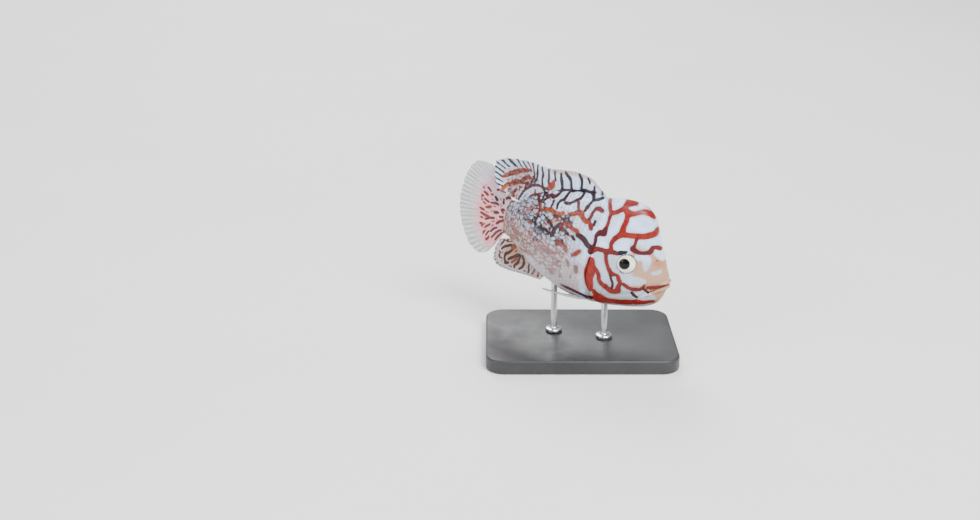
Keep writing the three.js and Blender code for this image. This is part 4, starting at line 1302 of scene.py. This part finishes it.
# Strokes on the fins: how warm, and points, each as the share of the way from the first ray to the last, the
# share from the root to the free edge, and the half width.
DORSAL_LINES = (
    (0.1, [(0.055, 0.05, 0.25), (0.055, 0.5, 0.3), (0.055, 0.85, 0.2)]),
    (0.05, [(0.13, -0.05, 0.4), (0.14, 0.2, 0.5), (0.15, 0.4, 0.45), (0.15, 0.65, 0.3)]),
    (0.05, [(0.2, 0.64, 0.2), (0.205, 0.75, 0.3), (0.22, 0.9, 0.2)]),
    (0, [(0.275, 0.1, 0.6), (0.28, 0.3, 0.45), (0.275, 0.55, 0.45), (0.28, 0.75, 0.4), (0.3, 0.92, 0.3)]),
    (0.05, [(0.385, 0.06, 0.7), (0.385, 0.3, 0.5), (0.385, 0.5, 0.45), (0.395, 0.65, 0.6),
        (0.42, 0.78, 0.5), (0.44, 0.9, 0.3)]),
    (0, [(0.485, 0.06, 0.8), (0.485, 0.3, 0.65), (0.487, 0.55, 0.65), (0.486, 0.82, 0.4)]),
    (0.15, [(0.13, 0.24, 0.4), (0.16, 0.26, 0.4), (0.2, 0.15, 0.6), (0.25, 0.16, 0.65), (0.28, 0.12, 0.6),
        (0.33, 0.08, 0.5), (0.385, 0.1, 0.6), (0.44, 0.12, 0.45), (0.5, 0.13, 0.5)]),
    (1.2, [(0.635, 0.22, 1.1), (0.61, 0.28, 1.5), (0.585, 0.36, 1.2), (0.57, 0.48, 0.6)]),
    (0.2, [(0.625, 0.3, 0.4), (0.622, 0.45, 0.4), (0.61, 0.65, 0.4), (0.6, 0.92, 0.3)]),
    (0.1, [(0.55, 0.5, 0.2), (0.552, 0.7, 0.3), (0.545, 0.9, 0.2)]),
    (0.1, [(0.69, 0.1, 0.35), (0.69, 0.3, 0.45), (0.672, 0.5, 0.4), (0.655, 0.66, 0.5), (0.65, 0.82, 0.35),
        (0.645, 0.97, 0.2)]),
    (0.1, [(0.75, 0.38, 0.4), (0.715, 0.5, 0.4), (0.7, 0.62, 0.45), (0.685, 0.78, 0.4), (0.67, 0.97, 0.3)]),
    (0.35, [(0.8, 0.3, 0.4), (0.765, 0.42, 0.45), (0.737, 0.52, 0.4), (0.72, 0.63, 0.35), (0.71, 0.8, 0.35),
        (0.7, 0.97, 0.3)]),
    (2, [(0.985, 0.9, 0.6), (0.95, 0.7, 0.8), (0.92, 0.58, 0.9), (0.89, 0.5, 1.1), (0.86, 0.44, 0.8),
        (0.82, 0.38, 0.6)]),
    (1.8, [(0.91, 0.78, 0.5), (0.885, 0.7, 0.9), (0.86, 0.65, 0.8), (0.83, 0.64, 1), (0.8, 0.68, 0.95),
        (0.765, 0.7, 0.8), (0.735, 0.73, 0.5)]),
    (1.7, [(0.845, 0.4, 0.5), (0.815, 0.46, 0.9), (0.79, 0.51, 0.8), (0.765, 0.5, 0.5)]),
    (1.2, [(1, 0.54, 0.5), (0.96, 0.46, 0.6), (0.92, 0.4, 0.4)]),
    (0.25, [(0.64, 0.17, 0.4), (0.68, 0.22, 0.5), (0.73, 0.3, 0.45), (0.78, 0.3, 0.5), (0.84, 0.24, 0.45),
        (0.9, 0.24, 0.5), (0.98, 0.25, 0.4)]),
    (0.5, [(0.87, 0.24, 0.4), (0.83, 0.31, 0.5), (0.8, 0.37, 0.4)]),
    (0.6, [(0.72, 0.07, 0.3), (0.78, 0.07, 0.4), (0.84, 0.08, 0.4), (0.9, 0.06, 0.3)]),
    (0.8, [(0.78, 0.18, 0.3), (0.8, 0.1, 0.4)]),
)
ANAL_LINES = (
    (1.9, [(0.845, 0.02, 0.9), (0.83, 0.12, 1.2), (0.82, 0.2, 1.25), (0.815, 0.29, 0.6)]),
    (0.3, [(0.87, 0.28, 0.35), (0.89, 0.42, 0.45), (0.9, 0.56, 0.45), (0.885, 0.7, 0.35)]),
    (0.1, [(0.785, 0.3, 0.3), (0.77, 0.44, 0.45), (0.78, 0.56, 0.5), (0.75, 0.65, 0.5), (0.7, 0.72, 0.5),
        (0.66, 0.78, 0.6), (0.64, 0.7, 0.35)]),
    (0.4, [(0.71, 0.07, 0.5), (0.65, 0.05, 0.5), (0.6, 0.05, 0.5), (0.56, 0.09, 0.4)]),
    (0.15, [(0.69, 0.6, 0.45), (0.67, 0.48, 0.5), (0.655, 0.35, 0.5), (0.63, 0.25, 0.7), (0.6, 0.25, 0.65),
        (0.57, 0.33, 0.5), (0.54, 0.43, 0.55), (0.53, 0.56, 0.5), (0.53, 0.68, 0.45), (0.5, 0.79, 0.3)]),
    (0.15, [(0.57, 0.18, 0.35), (0.52, 0.23, 0.5), (0.47, 0.3, 0.5), (0.44, 0.4, 0.6), (0.42, 0.53, 0.55),
        (0.42, 0.65, 0.5), (0.43, 0.77, 0.3)]),
    (0.2, [(0.4, 0.1, 0.3), (0.37, 0.2, 0.35), (0.34, 0.35, 0.35), (0.31, 0.48, 0.4), (0.28, 0.62, 0.35),
        (0.26, 0.78, 0.3)]),
    (1.6, [(0.6, 0.4, 0.45), (0.6, 0.52, 0.5), (0.61, 0.63, 0.35)]),
    (0.9, [(0.22, 0.25, 0.4), (0.2, 0.5, 0.45), (0.19, 0.72, 0.3)]),
    (0.8, [(0.12, 0.2, 0.3), (0.1, 0.5, 0.35), (0.07, 0.8, 0.3)]),
)
CAUDAL_LINES = (
    (0, [(0.36, 0.38, 0.45), (0.375, 0.33, 0.6)]),
    (0.6, [(0.43, 0.29, 0.5), (0.44, 0.35, 0.6), (0.47, 0.43, 0.3)]),
    (0.15, [(0.26, 0.21, 0.45), (0.33, 0.19, 0.5)]),
    (1, [(0.55, 0.5, 0.35), (0.537, 0.46, 0.65), (0.52, 0.41, 0.4)]),
    (0.45, [(0.57, 0.33, 0.55), (0.56, 0.28, 0.75), (0.55, 0.24, 0.4)]),
    (0.5, [(0.5, 0.14, 0.4), (0.46, 0.18, 0.55), (0.43, 0.13, 0.45)]),
    (0.55, [(0.7, 0.52, 0.3), (0.675, 0.42, 0.4), (0.665, 0.33, 0.5)]),
    (0.6, [(0.745, 0.27, 0.45), (0.73, 0.23, 0.65), (0.7, 0.17, 0.5), (0.67, 0.11, 0.6)]),
    (0.8, [(0.79, 0.55, 0.3), (0.775, 0.5, 0.4), (0.76, 0.43, 0.35)]),
    (0.35, [(0.84, 0.43, 0.3), (0.82, 0.35, 0.4), (0.81, 0.26, 0.35)]),
    (0.5, [(0.86, 0.57, 0.25), (0.835, 0.48, 0.3)]),
    (0.5, [(0.91, 0.46, 0.3), (0.89, 0.35, 0.4), (0.875, 0.25, 0.4), (0.88, 0.13, 0.3)]),
    (0.6, [(0.965, 0.42, 0.25), (0.955, 0.3, 0.35), (0.95, 0.13, 0.3)]),
    (1.05, [(0.63, 0.6, 0.4), (0.65, 0.51, 0.6), (0.66, 0.44, 0.3)]),
    (0.9, [(0.4, 0.6, 0.4), (0.41, 0.53, 0.45)]),
    (0.8, [(0.465, 0.56, 0.35), (0.48, 0.48, 0.35)]),
    (0.4, [(0.09, 0.62, 0.3), (0.14, 0.56, 0.4), (0.18, 0.52, 0.4)]),
    (0.35, [(0.04, 0.43, 0.3), (0.12, 0.38, 0.4), (0.2, 0.38, 0.5), (0.25, 0.41, 0.3)]),
    (0.6, [(0.02, 0.15, 0.4), (0.1, 0.17, 0.5), (0.17, 0.18, 0.4)]),
    (0.5, [(0.33, 0.57, 0.3), (0.34, 0.5, 0.3)]),
    (0.3, [(0.26, 0.06, 0.35), (0.3, 0.07, 0.4)]),
    (0.5, [(0.59, 0.12, 0.3), (0.61, 0.2, 0.35)]),
    (0.9, [(0.58, 0.62, 0.3), (0.59, 0.54, 0.35)]),
)


def drawn_on_fin(s, z, surface, lines):
    """Strokes given along and up a fin, with their warmth."""
    placed = []
    for warmth, points in lines:
        along, up, half = np.array(points).T
        back_by, height, _ = surface(along, up)
        placed.append((warmth, list(zip(back_by, height, half))))
    wave_s = s + 0.18 * waver(s, z, 1.6, 5)
    return drawn(wave_s, z + 0.18 * waver(s, z, 1.5, 9), placed, HEAVIER["fin"])


def off_bars(fin, share, per_ray, wave=0):
    """0 down the middle of bars that run as the rays do, a number of them to a ray, and 0.5 between bars."""
    return np.abs(np.mod(share * (fin["rays"] - 1) * per_ray + wave, 1) - 0.5)


def dorsal_marks(share, v, s, z):
    line, warm = drawn_on_fin(s, z, dorsal_surface, DORSAL_LINES)
    bars = off_bars(DORSAL, share, 1.4, 0.12 * waver(s, z, 3, 2)) * 1.5 - 0.34
    bars = bars + 2.5 * ease(v, 0.78, 0.7) + 2.5 * ease(share, 0.73, 0.68)
    line, warm = closest(line, warm, bars, 0)
    border, _ = cells(s / 2.3, z / 2.6, 7)
    maze = border * 2.2 - 0.3 + 2 * ease(line, 1.2, 0.6) + 2.5 * ease(share, 0.74, 0.68)
    line, warm = closest(line, warm, maze, 1.5 * ease(v, 0.15, 0.4))
    border, _ = cells(s / 2.1, (z + 0.6 * s) / 2.4, 17)
    veins = border * 2.1 - 0.18
    lobe = ease(share, 0.66, 0.72) * ease(v, 0.2, 0.32) * ease(v, 0.78, 0.7)
    line = np.minimum(line, veins + 2 * (1 - lobe))
    warm = between(warm, 0.2, lobe * ease(veins, 0.14, 0.02))
    margin = ease(v, 0.72, 0.92) * ease(share, 0.66, 0.52)
    creamy = ease(share, 0.68, 0.78) * bump(v - 0.5, 0.28)
    return {"line": line, "warm": warm, "tan": 0.5 * margin + 0.6 * creamy, "dusk": 0.6 * margin,
            "clear": 0.25 * margin + 0.04, "rose": 0.2 * margin}


def anal_marks(share, v, s, z):
    line, warm = drawn_on_fin(s, z, anal_surface, ANAL_LINES)
    edge = ease(v, 0.8, 0.92)
    bars = off_bars(ANAL, share, 1.5) * 1.7 - 0.3
    line, warm = closest(line + 1.5 * edge, warm, bars + 2 * (1 - edge), 0.3)
    border, _ = cells(s / 2.6, z / 2.2, 11)
    maze = border * 2.4 - 0.42 + 2 * ease(line, 0.95, 0.5) + 2 * edge
    line, warm = closest(line, warm, maze, 0.35)
    toasted = 0.5 * spot(share, v, (0.65, 0.35), (0.8, 1), 0.3)
    tan = (0.7 + 1.2 * toasted) * (1 - edge) + 0.2 * edge
    dusk = 0.3 * ease(share, 0.35, 0.15) + 0.75 * edge
    return {"line": line, "warm": warm, "tan": tan, "dusk": dusk, "clear": 0.25 * edge, "rose": 0.0}


def caudal_marks(share, v, s, z):
    line, warm = drawn_on_fin(s, z, caudal_surface, CAUDAL_LINES)
    ray = share * (CAUDAL["rays"] - 1)
    reach = (s - STANDARD_LENGTH) / 4.6
    _, fleck = cells(reach + 0.5 * np.mod(np.floor(ray), 2), ray, 21, 0.7)
    inner = ease(v, 0.74, 0.62) * ease(share, 0.2, 0.35)
    flecks = (fleck - 0.34) * 2.2 + (1 - inner) * 2 + 2 * ease(line, 0.7, 0.3)
    line, warm = closest(line, warm, flecks, 0.45 + 0.55 * ease(v, 0.15, 0.4))
    heart = ease(v, 0.88, 0.58)
    outer = 1 - heart
    branch = np.abs(np.mod(2 * ray, 1) - 0.5) * 2 * outer
    return {"line": line, "warm": warm, "tan": 0.1, "dusk": 0.95 * outer - 0.4 * branch,
            "clear": 0.06 + 0.2 * outer + 0.4 * branch, "rose": heart * (0.5 + 0.35 * ease(share, 0.25, 0.6))}


def pectoral_marks(share, v, s, z):
    clear = 0.93 + 0.04 * v
    return {"line": 2.0, "warm": 0.0, "tan": 0.35 * (1 - v), "dusk": 0.3, "clear": clear, "rose": 0.0}


def pelvic_marks(share, v, s, z):
    lead = ease(share, 0.08, 0.02)
    border, _ = cells(share * 9, v * 7, 31)
    return {"line": border * 1.2 - 0.42 + lead * 2 - 0.2, "warm": ease(v, 0.82, 1), "tan": 0.1,
            "dusk": 1 - 0.5 * lead, "clear": 0.05, "rose": 0.5 * ease(v, 0.85, 1)}


def build_fin(name, fin, surface, marks, material):
    """A thin membrane between thicker, tapering rays, notched a little between their tips."""
    gaps = fin["rays"] - 1
    piece, a, b = sheet(name, gaps * fin["per_ray"], fin["rows"])
    off_ray = np.abs(a * gaps - np.rint(a * gaps))
    ray = ease(off_ray, 0.3, 0.02)
    v = b * (1 - fin["notch"] * ease(off_ray, 0, 0.5))
    s, z, lat = (np.broadcast_to(value, a.shape) for value in surface(a, v))
    root, edge = surface(a, 0.0), surface(a, 1.0)
    reach = v * np.hypot(edge[0] - root[0], edge[1] - root[1])
    painted(piece, **marks(a, v, s, z), ray=ray, reach=reach)
    shaped(piece, posed(s, z, lat))
    over_membrane = THICK["ray"] * (1 - THICK["ray_taper"] * v) - THICK["membrane"]
    thickness = THICK["membrane"] + over_membrane * ray
    thickness = thickness * (1 - THICK["edge_taper"] * ease(b, 0.88, 1))
    most = thickness.max()
    group = piece.vertex_groups.new(name="thickness")
    for index, share in enumerate(thickness / most):
        group.add([index], float(share), "REPLACE")
    modified(piece, "SOLIDIFY", thickness=most * MM, offset=0, vertex_group="thickness")
    in_edit_mode(piece, face_outwards)
    smooth(piece)
    finished(piece, material, "fin", name)


# Stand
def build_base(material):
    """A plate with round corners and softened edges."""
    low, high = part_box("stand_base")
    deselected()
    bpy.ops.mesh.primitive_cube_add(size=1)
    piece = added("base")
    shaped(piece, (coordinates(piece) + 0.5) * np.array(high - low) + np.array(low))
    bevelled(piece, lambda rise: rise > MM, BASE_CORNER)
    bevelled(piece, lambda rise: rise < MM / 10, BASE_EDGE)
    smooth(piece, 35)
    finished(piece, material, "base", "stand_base")


def bevelled(piece, wanted, bevel):
    """Rounds off the edges that rise by a wanted height from end to end."""
    height = coordinates(piece)[:, 2]
    ends = np.array([edge.vertices[:] for edge in piece.data.edges])
    chosen = np.flatnonzero(wanted(np.abs(height[ends[:, 0]] - height[ends[:, 1]])))
    in_edit_mode(
        piece,
        lambda: bpy.ops.mesh.select_mode(type="EDGE"),
        lambda: bpy.ops.mesh.select_all(action="DESELECT"),
    )
    for index in chosen:
        piece.data.edges[int(index)].select = True
    bpy.ops.object.mode_set(mode="EDIT")
    bpy.ops.mesh.bevel(offset=bevel["width"] * MM, segments=bevel["steps"], profile=0.5, affect="EDGES")
    bpy.ops.mesh.select_mode(type="VERT")
    bpy.ops.object.mode_set(mode="OBJECT")


def build_rod(node, name, material):
    """A rod turned in one with its foot, from a profile spun round."""
    low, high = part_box(node)
    middle = (low + high) / 2
    top = (high.z - low.z) / MM
    profile = FOOT + [(ROD["radius"], top - ROD["chamfer"]), (ROD["end_radius"], top), (0, top)]
    deselected()
    bpy.ops.mesh.primitive_plane_add(size=1)
    piece = added(name)
    in_edit_mode(piece, lambda: bpy.ops.mesh.delete(type="VERT"))
    points = [(middle.x + r * MM, middle.y, low.z + h * MM) for r, h in profile]
    piece.data.from_pydata(points, [(i, i + 1) for i in range(len(points) - 1)], [])
    in_edit_mode(
        piece,
        lambda: bpy.ops.mesh.spin(
            steps=ROD["sides"], angle=2 * math.pi, center=(middle.x, middle.y, 0), axis=(0, 0, 1)),
        lambda: bpy.ops.mesh.select_all(action="SELECT"),
        merge_doubles,
        face_outwards,
    )
    smooth(piece, 40)
    finished(piece, material, "rod", node)


# Stage
def build_stage():
    deselected()
    bpy.ops.mesh.primitive_plane_add(size=FLOOR_SIZE)
    floor = added("floor")
    floor.data.materials.append(floor_material())
    world = bpy.data.worlds.new("studio")
    bpy.context.scene.world = world
    world.use_nodes = True
    background = {"Color": WORLD["colour"], "Strength": WORLD["strength"]}
    fed(world.node_tree, world.node_tree.nodes["Background"], background)
    for name, place, size, share in LAMPS:
        lamp = bpy.data.lights.new(name, "AREA")
        lamp.energy = settings().key_light * share
        lamp.size = size
        holder = bpy.data.objects.new(name, lamp)
        bpy.context.scene.collection.objects.link(holder)
        holder.location = place
        aim = Vector(LAMPS_AIM) - holder.location
        holder.rotation_euler = aim.to_track_quat("-Z", "Y").to_euler()
    build_camera()


def build_camera():
    """Looks along +Y from a little above, with the fitted point where the photo has it."""
    lens = bpy.data.cameras.new("camera")
    lens.lens = CAMERA["lens"]
    lens.sensor_width = CAMERA["sensor"]
    camera = bpy.data.objects.new("camera", lens)
    bpy.context.scene.collection.objects.link(camera)
    tilt = math.radians(CAMERA["elevation"])
    forward = np.array([0, math.cos(tilt), -math.sin(tilt)])
    upward = np.array([0, math.sin(tilt), math.cos(tilt)])
    focal = CAMERA["lens"] / CAMERA["sensor"] * PHOTO["wide"]
    right_by = (PHOTO["point"][0] - PHOTO["wide"] / 2) / focal
    up_by = (PHOTO["high"] / 2 - PHOTO["point"][1]) / focal
    target = posed(PHOTO["point_back"], 0, 0)
    distance = CAMERA["distance"] * MM
    camera.location = target - distance * (forward + right_by * np.array([1, 0, 0]) + up_by * upward)
    camera.rotation_euler = (math.pi / 2 - tilt, 0, 0)
    bpy.context.scene.camera = camera


# Operators, in the order that they are called
class FLOWERHORN_OT_stage(Operator):
    """Sets out the floor, lamps and camera"""

    bl_idname = "flowerhorn.stage"
    bl_label = "Stage"

    def execute(self, context):
        build_stage()
        return {"FINISHED"}


class FLOWERHORN_OT_stand(Operator):
    """Makes the base and the two rods that hold the fish"""

    bl_idname = "flowerhorn.stand"
    bl_label = "Stand"

    def execute(self, context):
        build_base(base_material())
        steel = rod_material()
        build_rod("stand_rod_front", "rod_front", steel)
        build_rod("stand_rod_rear", "rod_rear", steel)
        return {"FINISHED"}


class FLOWERHORN_OT_skin(Operator):
    """Makes one skin for head, jaw, gill covers, trunk and tail stem"""

    bl_idname = "flowerhorn.skin"
    bl_label = "Skin"

    def execute(self, context):
        build_skin()
        return {"FINISHED"}


class FLOWERHORN_OT_scales(Operator):
    """Lays overlapping scales on both flanks"""

    bl_idname = "flowerhorn.scales"
    bl_label = "Scales"

    def execute(self, context):
        material = scale_material(settings())
        build_scales(1, "scales_left", material)
        build_scales(-1, "scales_right", material)
        return {"FINISHED"}


class FLOWERHORN_OT_eyes(Operator):
    """Makes the two eyes"""

    bl_idname = "flowerhorn.eyes"
    bl_label = "Eyes"

    def execute(self, context):
        material = eye_material(settings())
        build_eye(1, "eye_left", material)
        build_eye(-1, "eye_right", material)
        return {"FINISHED"}


class FLOWERHORN_OT_middle_fins(Operator):
    """Makes the dorsal, anal and tail fins"""

    bl_idname = "flowerhorn.middle_fins"
    bl_label = "Middle fins"

    def execute(self, context):
        material = fin_material(settings(), "middle_fin")
        build_fin("dorsal_fin", DORSAL, dorsal_surface, dorsal_marks, material)
        build_fin("anal_fin", ANAL, anal_surface, anal_marks, material)
        build_fin("caudal_fin", CAUDAL, caudal_surface, caudal_marks, material)
        return {"FINISHED"}


class FLOWERHORN_OT_paired_fins(Operator):
    """Makes the pectoral and pelvic fins"""

    bl_idname = "flowerhorn.paired_fins"
    bl_label = "Paired fins"

    def execute(self, context):
        clear = fin_material(settings(), "pectoral_fin")
        dark = fin_material(settings(), "pelvic_fin")
        for side, hand in (("left", 1), ("right", -1)):
            surface = pectoral_surface(hand, PECTORAL[f"{side}_off"])
            build_fin(f"pectoral_fin_{side}", PECTORAL, surface, pectoral_marks, clear)
            build_fin(f"pelvic_fin_{side}", PELVIC, pelvic_surface(hand), pelvic_marks, dark)
        return {"FINISHED"}


OPERATORS = (
    FLOWERHORN_OT_stage,
    FLOWERHORN_OT_stand,
    FLOWERHORN_OT_skin,
    FLOWERHORN_OT_scales,
    FLOWERHORN_OT_eyes,
    FLOWERHORN_OT_middle_fins,
    FLOWERHORN_OT_paired_fins,
)


class FLOWERHORN_PT_panel(Panel):
    """Lists the sizes, the colours and the makers of the pieces"""

    bl_idname = "FLOWERHORN_PT_panel"
    bl_label = "Flowerhorn"
    bl_space_type = "VIEW_3D"
    bl_region_type = "UI"
    bl_category = "Flowerhorn"

    def draw(self, context):
        for name in FlowerhornSettings.__annotations__:
            self.layout.prop(context.scene.flowerhorn, name)
        for operator in OPERATORS:
            self.layout.operator(operator.bl_idname)


CLASSES = (FlowerhornSettings, *OPERATORS, FLOWERHORN_PT_panel)


def register():
    for cls in CLASSES:
        bpy.utils.register_class(cls)
    bpy.types.Scene.flowerhorn = PointerProperty(type=FlowerhornSettings)


def unregister():
    del bpy.types.Scene.flowerhorn
    for cls in reversed(CLASSES):
        bpy.utils.unregister_class(cls)


def main():
    register()
    bpy.ops.flowerhorn.stage()
    bpy.ops.flowerhorn.stand()
    bpy.ops.flowerhorn.skin()
    bpy.ops.flowerhorn.scales()
    bpy.ops.flowerhorn.eyes()
    bpy.ops.flowerhorn.middle_fins()
    bpy.ops.flowerhorn.paired_fins()


if __name__ == "__main__":
    main()
